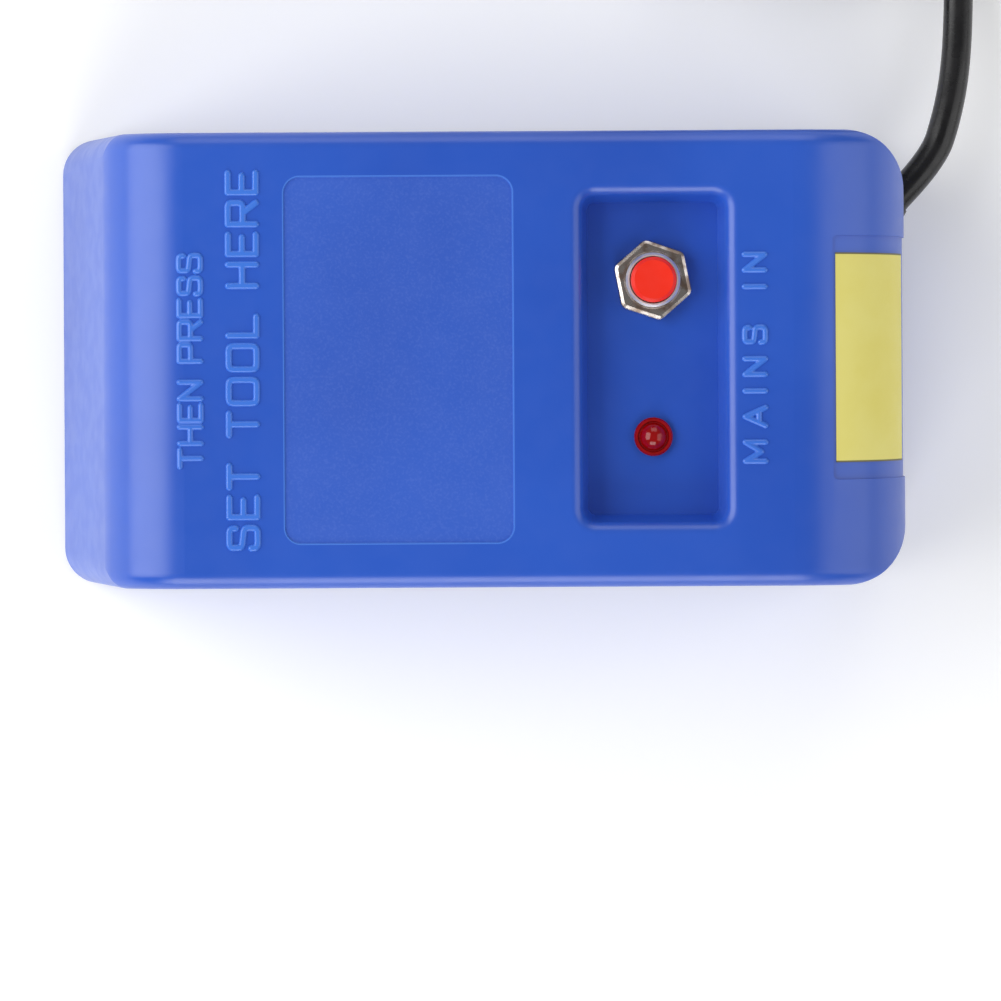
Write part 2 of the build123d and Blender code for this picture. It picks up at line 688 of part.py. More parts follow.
with BuildPart() as switch_spring:
    with BuildLine():
        Helix(pitch=1.15, height=6.9, radius=1.6, center=(BUTTON_X, BUTTON_Y, SWITCH_FLOOR_Z + 0.27))
    with BuildSketch(Plane((BUTTON_X + 1.6, BUTTON_Y, SWITCH_FLOOR_Z + 0.27), z_dir=(0, 1, 0))):
        Circle(0.25)
    sweep(is_frenet=True)
switch_spring.part.label = "switch_spring"
export_step(switch_spring.part, "parts/switch_spring.step")

# ---------------------------------------------------------------------------
# Push-button switch: the pieces that travel
# ---------------------------------------------------------------------------
CAP_BOTTOM = 45.4
CAP_TOP = 51.2
STEM_TOP = 48.6
disc_top = DISC_BOTTOM + DISC_THICKNESS

with BuildPart() as button_cap:
    with Locations((BUTTON_X, BUTTON_Y, 0)):
        add(
            turned(
                (0, CAP_TOP),
                (CAP_RADIUS - 0.6, CAP_TOP),
                (CAP_RADIUS, CAP_TOP - 0.6),
                (CAP_RADIUS, CAP_BOTTOM),
                (STEM_RADIUS, CAP_BOTTOM),
                (STEM_RADIUS, STEM_TOP),
                (0, STEM_TOP),
            )
        )
button_cap.part.label = "button_cap"
export_step(button_cap.part, "parts/button_cap.step")

with BuildPart() as button_stem:
    with Locations((BUTTON_X, BUTTON_Y, 0)):
        add(
            turned(
                (0, DISC_BOTTOM - 0.6),
                (1.0, DISC_BOTTOM - 0.6),
                (1.0, disc_top),
                (STEM_RADIUS, disc_top),
                (STEM_RADIUS, 37.4),
                (3.4, 37.4),
                (3.4, SWITCH_ROOF_Z - 0.15),
                (STEM_RADIUS, SWITCH_ROOF_Z - 0.15),
                (STEM_RADIUS, STEM_TOP),
                (0, STEM_TOP),
            )
        )
button_stem.part.label = "button_stem"
export_step(button_stem.part, "parts/button_stem.step")

with BuildPart() as contact_disc:
    with BuildSketch(Plane.XY.offset(DISC_BOTTOM)):
        with Locations((BUTTON_X, BUTTON_Y)):
            Circle(4.6)
            Circle(1.0, mode=Mode.SUBTRACT)
    extrude(amount=DISC_THICKNESS)
contact_disc.part.label = "contact_disc"
export_step(contact_disc.part, "parts/contact_disc.step")

# ---------------------------------------------------------------------------
# Indicator lamp
# ---------------------------------------------------------------------------
LENS_FLANGE_RADIUS = 3.5
LENS_RIM_TOP = POCKET_FLOOR_Z + 1.3
LENS_DOME_RADIUS = 2.5
LENS_DOME_TOP = POCKET_FLOOR_Z + 2.9
LENS_BARREL_RADIUS = 2.9
LENS_BARREL_BOTTOM = 38.0
BULB_RADIUS = 2.0
BULB_BOTTOM = 34.5
LENS_SEAT = LENS_RIM_TOP - 0.4
dome_height = LENS_DOME_TOP - LENS_SEAT
dome_curve = (dome_height**2 + LENS_DOME_RADIUS**2) / (2 * dome_height)
dome_middle = (
    dome_curve * sin(0.5),
    LENS_DOME_TOP - dome_curve * (1 - cos(0.5)),
)

with BuildPart() as lens_form:
    with BuildSketch(Plane.XZ):
        with BuildLine():
            ThreePointArc((0, LENS_DOME_TOP), dome_middle, (LENS_DOME_RADIUS, LENS_SEAT))
            Polyline(
                (LENS_DOME_RADIUS, LENS_SEAT),
                (LENS_DOME_RADIUS + 0.2, LENS_SEAT),
                (LENS_DOME_RADIUS + 0.35, LENS_RIM_TOP),
                (LENS_FLANGE_RADIUS - 0.3, LENS_RIM_TOP),
                (LENS_FLANGE_RADIUS, LENS_RIM_TOP - 0.3),
                (LENS_FLANGE_RADIUS, POCKET_FLOOR_Z),
                (LENS_BARREL_RADIUS, POCKET_FLOOR_Z),
                (LENS_BARREL_RADIUS, LENS_BARREL_BOTTOM),
                (BULB_RADIUS + 0.2, LENS_BARREL_BOTTOM),
                (BULB_RADIUS + 0.2, POCKET_FLOOR_Z),
                (0, POCKET_FLOOR_Z + 0.6),
                (0, LENS_DOME_TOP),
            )
        make_face()
    revolve(axis=Axis.Z)

with BuildPart() as lamp_lens:
    with Locations((LAMP_X, LAMP_Y, 0)):
        add(lens_form.part)
lamp_lens.part.label = "lamp_lens"
export_step(lamp_lens.part, "parts/lamp_lens.step")

with BuildPart() as lamp_clip:
    with BuildSketch(Plane.XY.offset(PANEL_UNDER_Z)):
        with Locations((LAMP_X, LAMP_Y)):
            Circle(5.5)
            Circle(LENS_BARREL_RADIUS + 0.02, mode=Mode.SUBTRACT)
    extrude(amount=-0.8)
lamp_clip.part.label = "lamp_clip"
export_step(lamp_clip.part, "parts/lamp_clip.step")

with BuildPart() as lamp_bulb:
    with Locations((LAMP_X, LAMP_Y, 0)):
        add(
            turned(
                (0, BULB_BOTTOM),
                (BULB_RADIUS - 0.4, BULB_BOTTOM),
                (BULB_RADIUS, BULB_BOTTOM + 0.6),
                (BULB_RADIUS, POCKET_FLOOR_Z - 2.0),
                (BULB_RADIUS - 0.6, POCKET_FLOOR_Z - 0.9),
                (0, POCKET_FLOOR_Z - 0.4),
            )
        )
lamp_bulb.part.label = "lamp_bulb"
export_step(lamp_bulb.part, "parts/lamp_bulb.step")

LAMP_LEAD_OFFSET = 1.2
RESISTOR_BOTTOM = 24.0
RESISTOR_LENGTH = 7.0
with BuildPart() as lamp_resistor:
    with Locations((LAMP_X - LAMP_LEAD_OFFSET, LAMP_Y, RESISTOR_BOTTOM)):
        add(
            turned(
                (0, 0),
                (0.8, 0),
                (1.1, 0.4),
                (1.1, 1.8),
                (0.9, 2.2),
                (0.9, RESISTOR_LENGTH - 2.2),
                (1.1, RESISTOR_LENGTH - 1.8),
                (1.1, RESISTOR_LENGTH - 0.4),
                (0.8, RESISTOR_LENGTH),
                (0.3, RESISTOR_LENGTH),
                (0.3, BULB_BOTTOM - RESISTOR_BOTTOM - 0.01),
                (0, BULB_BOTTOM - RESISTOR_BOTTOM - 0.01),
            )
        )
lamp_resistor.part.label = "lamp_resistor"
export_step(lamp_resistor.part, "parts/lamp_resistor.step")

# ---------------------------------------------------------------------------
# Wiring inside: each splice takes two thick wires side by side and a thin one above
# ---------------------------------------------------------------------------
WIRE_END_X = SPLICE_X + 3.0
SPLICE_RADIUS = 2.9
SPLICE_BORE = 2.25
SPLICE_WALL = 1.5
LAMP_WIRE_RADIUS = 0.6
side_step = 1.05
low_z = SPLICE_Z - 0.6
high_z = SPLICE_Z + 1.1
SOLDER_GAP = 0.12
terminal_foot = TERMINAL_BOTTOM - SOLDER_GAP

with BuildPart() as splice_caps:
    splice_points = [(NEUTRAL_SPLICE_Y, SPLICE_Z), (SWITCHED_SPLICE_Y, SPLICE_Z)]
    with BuildSketch(Plane.YZ.offset(SPLICE_X)):
        with Locations(*splice_points):
            Circle(SPLICE_RADIUS)
    extrude(amount=SPLICE_LENGTH)
    fillet(splice_caps.edges().group_by(Axis.X)[0], 1.0)
    with BuildSketch(Plane.YZ.offset(SPLICE_X + SPLICE_WALL)):
        with Locations(*splice_points):
            Circle(SPLICE_BORE)
    extrude(amount=SPLICE_LENGTH, mode=Mode.SUBTRACT)
splice_caps.part.label = "splice_caps"
export_step(splice_caps.part, "parts/splice_caps.step")

SHEATH_END = (34.0, CLAMP_Y, PLATE_TOP + CORD_DIAMETER / 2 + 0.1)
with BuildPart() as live_wire:
    add(
        bent_tube(
            [
                (SHEATH_END[0] - SOLDER_GAP, CLAMP_Y + 1.2, SHEATH_END[2]),
                (30.5, -1.0, 8.4),
                (28.2, 3.0, 8.6),
                (27.9, 9.0, 9.6),
                (28.1, 13.6, 12.2),
                (BUTTON_X - TERMINAL_OFFSET, BUTTON_Y, terminal_foot),
            ],
            2 * WIRE_RADIUS,
        )
    )
live_wire.part.label = "live_wire"
export_step(live_wire.part, "parts/live_wire.step")

with BuildPart() as neutral_wire:
    add(
        bent_tube(
            [
                (SHEATH_END[0] - SOLDER_GAP, CLAMP_Y - 1.2, SHEATH_END[2]),
                (29.0, -4.2, 8.4),
                (25.6, -9.0, 8.2),
                (22.5, NEUTRAL_SPLICE_Y + side_step, low_z),
                (WIRE_END_X, NEUTRAL_SPLICE_Y + side_step + 0.01, low_z),
            ],
            2 * WIRE_RADIUS,
        )
    )
neutral_wire.part.label = "neutral_wire"
export_step(neutral_wire.part, "parts/neutral_wire.step")

with BuildPart() as switched_wire:
    add(
        bent_tube(
            [
                (BUTTON_X + TERMINAL_OFFSET, BUTTON_Y, terminal_foot),
                (36.2, 15.6, 12.0),
                (33.0, 19.5, 8.6),
                (27.0, 19.6, 8.2),
                (23.6, 14.0, 8.1),
                (22.0, SWITCHED_SPLICE_Y + side_step, low_z),
                (WIRE_END_X, SWITCHED_SPLICE_Y + side_step, low_z + 0.01),
            ],
            2 * WIRE_RADIUS,
        )
    )
switched_wire.part.label = "switched_wire"
export_step(switched_wire.part, "parts/switched_wire.step")

coil_lead_start = coil_face_x + SOLDER_GAP
with BuildPart() as coil_leads:
    add(
        bent_tube(
            [
                (coil_lead_start, -13.0, 22.0),
                (13.0, -14.0, 21.5),
                (21.0, -17.0, 17.0),
                (25.5, -18.5, 12.5),
                (24.8, -17.0, 8.8),
                (20.5, NEUTRAL_SPLICE_Y - side_step, low_z),
                (WIRE_END_X, NEUTRAL_SPLICE_Y - side_step, low_z + 0.01),
            ],
            2 * WIRE_RADIUS,
        )
    )
    add(
        bent_tube(
            [
                (coil_lead_start, 10.0, 24.0),
                (12.0, 9.5, 23.5),
                (18.0, 6.5, 19.0),
                (22.4, 3.6, 13.5),
                (23.0, 3.2, 9.4),
                (20.4, SWITCHED_SPLICE_Y - side_step, low_z),
                (WIRE_END_X, SWITCHED_SPLICE_Y - side_step, low_z + 0.01),
            ],
            2 * WIRE_RADIUS,
        )
    )
coil_leads.part.label = "coil_leads"
export_step(coil_leads.part, "parts/coil_leads.step")

with BuildPart() as lamp_wires:
    add(
        bent_tube(
            [
                (LAMP_X - LAMP_LEAD_OFFSET, LAMP_Y, RESISTOR_BOTTOM - 0.02),
                (30.9, -14.3, 18.5),
                (29.0, -14.1, 13.0),
                (24.0, NEUTRAL_SPLICE_Y, high_z + 0.1),
                (WIRE_END_X, NEUTRAL_SPLICE_Y, high_z),
            ],
            2 * LAMP_WIRE_RADIUS,
        )
    )
    add(
        bent_tube(
            [
                (LAMP_X + LAMP_LEAD_OFFSET, LAMP_Y, BULB_BOTTOM - 0.02),
                (33.4, -13.5, 24.0),
                (31.5, -7.0, 17.0),
                (28.0, 2.0, 14.6),
                (24.6, 5.6, 11.2),
                (21.0, SWITCHED_SPLICE_Y, high_z + 0.05),
                (WIRE_END_X, SWITCHED_SPLICE_Y, high_z),
            ],
            2 * LAMP_WIRE_RADIUS,
        )
    )
lamp_wires.part.label = "lamp_wires"
export_step(lamp_wires.part, "parts/lamp_wires.step")

# ---------------------------------------------------------------------------
# Cord entry: strain relief, sheath inside and its clamp
# ---------------------------------------------------------------------------
GLAND_NOSE_RADIUS = 3.1
GLAND_NOSE_DEPTH = 1.0
GLAND_RADIUS = 3.95
GLAND_FLANGE_Z = GLAND_FLANGE_DEPTH + 0.05
gland_bore = CORD_DIAMETER / 2 + 0.02

with BuildPart() as gland_form:
    add(
        turned(
            (gland_bore, GLAND_NOSE_DEPTH),
            (GLAND_NOSE_RADIUS, GLAND_NOSE_DEPTH),
            (GLAND_RADIUS, GLAND_NOSE_DEPTH + 5.0),
            (GLAND_RADIUS, GLAND_FLANGE_Z),
            (5.5, GLAND_FLANGE_Z),
            (5.5, GLAND_FLANGE_Z + 1.5),
            (4.2, GLAND_FLANGE_Z + 1.5),
            (gland_bore + 0.6, GLAND_LENGTH),
            (gland_bore, GLAND_LENGTH),
        )
    )
with BuildPart() as cord_gland:
    with Locations(GLAND_AXIS):
        add(gland_form.part)
cord_gland.part.label = "cord_gland"
export_step(cord_gland.part, "parts/cord_gland.step")

with BuildPart() as cord_sheath:
    add(
        bent_tube(
            [
                GLAND_END,
                along(GLAND_END, GLAND_HEADING + 180, GLAND_LENGTH + 5.0),
                (54.5, 0.5, 10.6),
                (46.0, CLAMP_Y, SHEATH_END[2]),
                SHEATH_END,
            ],
            CORD_DIAMETER,
        )
    )
cord_sheath.part.label = "cord_sheath"
export_step(cord_sheath.part, "parts/cord_sheath.step")

CLAMP_LENGTH = 6.0
CLAMP_FOOT = 2.0
clamp_inner = CORD_DIAMETER / 2 + 0.05
clamp_outer = clamp_inner + 1.8
with BuildPart() as cord_clamp:
    with BuildSketch(Plane.YZ.offset(CLAMP_X - CLAMP_LENGTH / 2)):
        with Locations((CLAMP_Y, SHEATH_END[2])):
            Circle(clamp_outer)
        with Locations((CLAMP_Y, PLATE_TOP + SHEATH_END[2] / 2 - PLATE_TOP / 2)):
            Rectangle(2 * clamp_outer, SHEATH_END[2] - PLATE_TOP)
        with Locations((CLAMP_Y, PLATE_TOP + CLAMP_FOOT / 2)):
            Rectangle(CLAMP_SCREW_SPAN + 7.0, CLAMP_FOOT)
        with Locations((CLAMP_Y, 0)):
            Rectangle(50, 2 * PLATE_TOP, mode=Mode.SUBTRACT)
        with Locations((CLAMP_Y, SHEATH_END[2])):
            Circle(clamp_inner, mode=Mode.SUBTRACT)
        with Locations((CLAMP_Y, PLATE_TOP + SHEATH_END[2] / 2 - PLATE_TOP / 2)):
            Rectangle(2 * clamp_inner, SHEATH_END[2] - PLATE_TOP, mode=Mode.SUBTRACT)
    extrude(amount=CLAMP_LENGTH)
    with BuildSketch(Plane.XY.offset(PLATE_TOP)):
        with Locations(*clamp_screw_points):
            Circle(1.4)
    extrude(amount=CLAMP_FOOT, mode=Mode.SUBTRACT)
cord_clamp.part.label = "cord_clamp"
export_step(cord_clamp.part, "parts/cord_clamp.step")

clamp_screw = pan_screw(1.2, CLAMP_FOOT + BLIND_DEPTH - 0.1, 2.4, 1.6)
with BuildPart() as clamp_screws:
    with Locations(Plane.XY.offset(PLATE_TOP + CLAMP_FOOT)):
        with Locations(*clamp_screw_points):
            add(clamp_screw)
clamp_screws.part.label = "clamp_screws"
export_step(clamp_screws.part, "parts/clamp_screws.step")

# ---------------------------------------------------------------------------
# Free cord: the run across the table, the put-away coil, the tail and the tie
# ---------------------------------------------------------------------------
with BuildPart() as cord_run:
    add(bent_tube(CORD_ROUTE, CORD_DIAMETER))
cord_run.part.label = "cord_run"
export_step(cord_run.part, "parts/cord_run.step")

COIL_SLACK = 0.05
coil_rings = [COIL_OUTER_TURN - COIL_TURN_PITCH * ring for ring in range(COIL_RINGS)]
coil_inner_radius = coil_rings[-1] - CORD_DIAMETER / 2 - COIL_SLACK
coil_outer_radius = COIL_OUTER_TURN + CORD_DIAMETER / 2 + COIL_SLACK
coil_section_width = coil_outer_radius - coil_inner_radius
coil_section_height = COIL_TURN_PITCH + CORD_DIAMETER + 2 * COIL_SLACK
coil_middle = (coil_inner_radius + coil_outer_radius) / 2
coil_middle_z = COIL_LIFT + coil_section_height / 2
coil_top_turn_z = coil_middle_z + COIL_TURN_PITCH / 2
coil_round = CORD_DIAMETER / 2


def coil_plane(angle):
    """Upright plane through the coil's axis at an angle in plan."""
    return Plane(
        origin=(COIL_CENTRE[0], COIL_CENTRE[1], 0),
        x_dir=(cos(radians(angle)), sin(radians(angle)), 0),
        z_dir=(sin(radians(angle)), -cos(radians(angle)), 0),
    )


coil_axis = Axis((COIL_CENTRE[0], COIL_CENTRE[1], 0), (0, 0, 1))
with BuildPart() as cord_coil:
    with BuildSketch(coil_plane(0)):
        with Locations((coil_middle, coil_middle_z)):
            RectangleRounded(coil_section_width, coil_section_height, coil_round)
    revolve(axis=coil_axis)
cord_coil.part.label = "cord_coil"
export_step(cord_coil.part, "parts/cord_coil.step")

TIE_ANGLE = 235.0
TIE_SPAN = 13.0
TIE_THICKNESS = 0.5
TIE_GAP = 0.04
with BuildPart() as cord_tie:
    with BuildSketch(coil_plane(TIE_ANGLE - TIE_SPAN / 2)):
        with Locations((coil_middle, coil_middle_z)):
            RectangleRounded(
                coil_section_width + 2 * (TIE_GAP + TIE_THICKNESS),
                coil_section_height + 2 * (TIE_GAP + TIE_THICKNESS),
                coil_round + TIE_GAP + TIE_THICKNESS,
            )
            RectangleRounded(
                coil_section_width + 2 * TIE_GAP,
                coil_section_height + 2 * TIE_GAP,
                coil_round + TIE_GAP,
                mode=Mode.SUBTRACT,
            )
    revolve(axis=coil_axis, revolution_arc=TIE_SPAN)
cord_tie.part.label = "cord_tie"
export_step(cord_tie.part, "parts/cord_tie.step")

PLUG_HEIGHT = 14.0
PLUG_WIDTH = 20.0
PLUG_BODY_LENGTH = 24.0
PLUG_RELIEF_LENGTH = 18.0
PLUG_AXIS_Z = PLUG_HEIGHT / 2 + 0.05
TAIL_LENGTH = 26.0
tail_heading = TAIL_ANGLE + 90
tail_start = along((*COIL_CENTRE, coil_top_turn_z), TAIL_ANGLE, COIL_OUTER_TURN)


def tail_point(distance, z):
    """Point on the line that leaves the coil towards the plug."""
    x, y, _ = along(tail_start, tail_heading, distance)
    return (x, y, z)


plug_start = tail_point(TAIL_LENGTH, PLUG_AXIS_Z)
with BuildPart() as cord_tail:
    add(
        bent_tube(
            [
                tail_point(6.0, coil_top_turn_z),
                tail_point(13.0, coil_top_turn_z - 0.4),
                tail_point(20.0, PLUG_AXIS_Z + 0.3),
                plug_start,
            ],
            CORD_DIAMETER,
        )
    )
cord_tail.part.label = "cord_tail"
export_step(cord_tail.part, "parts/cord_tail.step")

plug_plane = Plane(
    origin=plug_start,
    x_dir=(0, 0, 1),
    z_dir=(cos(radians(tail_heading)), sin(radians(tail_heading)), 0),
)
BLADE_THICKNESS = 1.5
BLADE_WIDTH = 6.3
BLADE_SPACING = 12.7
BLADE_LENGTH = 17.0
BLADE_ROOT = 5.0
plug_length = PLUG_RELIEF_LENGTH + PLUG_BODY_LENGTH

with BuildPart() as plug_body:
    with BuildSketch(plug_plane):
        Circle(3.7)
    with BuildSketch(plug_plane.offset(PLUG_RELIEF_LENGTH)):
        Circle(4.9)
    loft()
    for ring in range(4):
        with BuildSketch(plug_plane.offset(2.6 + 3.6 * ring)):
            Circle(6.0)
            Circle(3.4 + 0.2 * ring, mode=Mode.SUBTRACT)
        extrude(amount=1.4, mode=Mode.SUBTRACT)
    with BuildSketch(plug_plane.offset(PLUG_RELIEF_LENGTH)):
        RectangleRounded(PLUG_HEIGHT, PLUG_WIDTH - 4.0, 4.0)
    with BuildSketch(plug_plane.offset(PLUG_RELIEF_LENGTH + 8.0)):
        RectangleRounded(PLUG_HEIGHT, PLUG_WIDTH, 4.0)
    loft()
    with BuildSketch(plug_plane.offset(PLUG_RELIEF_LENGTH + 8.0)):
        RectangleRounded(PLUG_HEIGHT, PLUG_WIDTH, 4.0)
    extrude(amount=PLUG_BODY_LENGTH - 8.0)
    plug_face = plug_body.faces().filter_by(lambda f: f.normal_at().dot(plug_plane.z_dir) > 0.99)
    fillet(plug_face.sort_by_distance(plug_plane.offset(plug_length).origin)[0].edges(), 1.0)
    with BuildSketch(plug_plane.offset(plug_length - BLADE_ROOT)):
        with Locations((0, -BLADE_SPACING / 2), (0, BLADE_SPACING / 2)):
            Rectangle(BLADE_WIDTH, BLADE_THICKNESS)
    extrude(amount=BLADE_ROOT, mode=Mode.SUBTRACT)
plug_body.part.label = "plug_body"
export_step(plug_body.part, "parts/plug_body.step")

with BuildPart() as plug_blades:
    with BuildSketch(plug_plane.offset(plug_length - BLADE_ROOT)):
        with Locations((0, -BLADE_SPACING / 2), (0, BLADE_SPACING / 2)):
            Rectangle(BLADE_WIDTH, BLADE_THICKNESS)
    extrude(amount=BLADE_ROOT + BLADE_LENGTH)
plug_blades.part.label = "plug_blades"
export_step(plug_blades.part, "parts/plug_blades.step")

# ---------------------------------------------------------------------------
# The cord's figures
# ---------------------------------------------------------------------------
# One turn in every ring of both layers, except that the last one leaves at the tail.
turns_in_coil = 2 * COIL_RINGS - 1 + TAIL_ANGLE / 360
coil_cord_length = 2 * pi * (2 * sum(coil_rings) - COIL_OUTER_TURN * (1 - TAIL_ANGLE / 360))
section = pi * CORD_DIAMETER**2 / 4
print("cord run radii", [round(radius, 1) for radius in bend_radii(CORD_ROUTE)])
print("cord run length by volume", round(cord_run.part.volume / section, 2))
print("turns in the coil", round(turns_in_coil, 2), "cord in the coil", round(coil_cord_length, 1))
print("tail length by volume", round(cord_tail.part.volume / section, 2))
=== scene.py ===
"""Looks of a bench demagnetizer for watch work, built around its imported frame."""

import json
import logging
import math
from dataclasses import dataclass
from enum import Enum

import bpy
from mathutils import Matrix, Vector

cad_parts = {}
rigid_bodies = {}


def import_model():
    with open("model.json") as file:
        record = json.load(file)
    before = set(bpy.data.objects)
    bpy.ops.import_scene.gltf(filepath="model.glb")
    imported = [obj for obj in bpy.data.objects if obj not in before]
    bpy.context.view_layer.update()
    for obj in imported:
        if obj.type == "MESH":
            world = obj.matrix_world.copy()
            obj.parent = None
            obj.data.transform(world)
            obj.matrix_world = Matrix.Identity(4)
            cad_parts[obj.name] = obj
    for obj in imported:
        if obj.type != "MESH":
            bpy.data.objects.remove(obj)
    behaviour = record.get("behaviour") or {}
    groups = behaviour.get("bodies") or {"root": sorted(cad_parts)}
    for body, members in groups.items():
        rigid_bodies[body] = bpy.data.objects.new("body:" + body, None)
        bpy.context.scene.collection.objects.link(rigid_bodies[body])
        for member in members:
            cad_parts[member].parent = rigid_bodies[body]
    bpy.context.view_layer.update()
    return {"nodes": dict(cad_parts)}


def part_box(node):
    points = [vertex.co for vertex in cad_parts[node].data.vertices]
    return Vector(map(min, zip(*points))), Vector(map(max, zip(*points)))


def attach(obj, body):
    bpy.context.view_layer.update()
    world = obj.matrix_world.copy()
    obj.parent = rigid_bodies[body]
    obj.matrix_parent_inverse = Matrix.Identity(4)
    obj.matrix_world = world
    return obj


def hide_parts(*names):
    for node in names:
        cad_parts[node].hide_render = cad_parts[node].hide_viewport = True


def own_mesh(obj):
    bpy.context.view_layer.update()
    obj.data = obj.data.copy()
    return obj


Colour = tuple[float, float, float]
Point = tuple[float, float, float]
Stroke = tuple[tuple[float, float], ...]

LOG = logging.getLogger("demagnetizer")
MM = 0.001


# ---------------------------------------------------------------------------
# Work on meshes
# ---------------------------------------------------------------------------
def only(obj: bpy.types.Object) -> bpy.types.Object:
    """Select one object alone, make it the active one, and return it."""
    bpy.ops.object.select_all(action="DESELECT")
    obj.select_set(True)
    bpy.context.view_layer.objects.active = obj
    return obj


def started(name: str) -> bpy.types.Object:
    """Name the primitive or copy that was just added, and return it."""
    obj = bpy.context.active_object
    obj.name = name
    obj.data.name = name
    return obj


def settled(obj: bpy.types.Object) -> bpy.types.Object:
    """Put the object's place, turn and scale into its mesh."""
    only(obj)
    bpy.ops.object.transform_apply(location=True, rotation=True, scale=True)
    return obj


def applied(obj: bpy.types.Object) -> bpy.types.Object:
    """Apply every modifier of the object, first to last."""
    only(obj)
    for modifier in [m.name for m in obj.modifiers]:
        bpy.ops.object.modifier_apply(modifier=modifier)
    return obj


def smoothed(obj: bpy.types.Object, degrees: float = 32.0) -> bpy.types.Object:
    """Shade smooth, with edges sharper than the angle kept crisp."""
    only(obj)
    bpy.ops.object.shade_smooth_by_angle(angle=math.radians(degrees))
    return obj


def cleaned(obj: bpy.types.Object, gap: float = 2e-6) -> bpy.types.Object:
    """Merge doubled points and point every face outwards.

    Args:
        obj: Mesh object to clean.
        gap: Distance in metres under which two points are one.

    Returns:
        The same object.
    """
    only(obj)
    bpy.ops.object.mode_set(mode="EDIT")
    bpy.ops.mesh.select_all(action="SELECT")
    bpy.ops.mesh.remove_doubles(threshold=gap)
    bpy.ops.mesh.normals_make_consistent(inside=False)
    bpy.ops.object.mode_set(mode="OBJECT")
    return obj


def merged_copy(node: str, name: str) -> bpy.types.Object:
    """Copy a frame node as one joined skin that stands for it.

    Args:
        node: Name of the node.
        name: Name of the new piece.

    Returns:
        The new piece, still riding on nothing.
    """
    source = bpy.data.objects[node]
    obj = bpy.data.objects.new(name, source.data.copy())
    obj.data.name = name
    bpy.context.scene.collection.objects.link(obj)
    obj.data.materials.clear()
    only(obj)
    if obj.data.has_custom_normals:
        bpy.ops.mesh.customdata_custom_splitnormals_clear()
    return smoothed(cleaned(obj))


def dress(obj: bpy.types.Object, finish: bpy.types.Material) -> None:
    """Give the whole object one finish."""
    if not obj.material_slots:
        obj.data.materials.append(finish)
    for slot in obj.material_slots:
        slot.material = finish


def seat(obj: bpy.types.Object, body: str, slot: str, *nodes: str) -> None:
    """Let a new piece ride on a body.

    Args:
        obj: The piece.
        body: Body that carries it.
        slot: Material slot of the record that its finish belongs to; not used.
        *nodes: Frame nodes that it stands for.
    """
    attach(obj, body)
    if nodes:
        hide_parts(*nodes)
    LOG.info("%s rides on %s", obj.name, body)


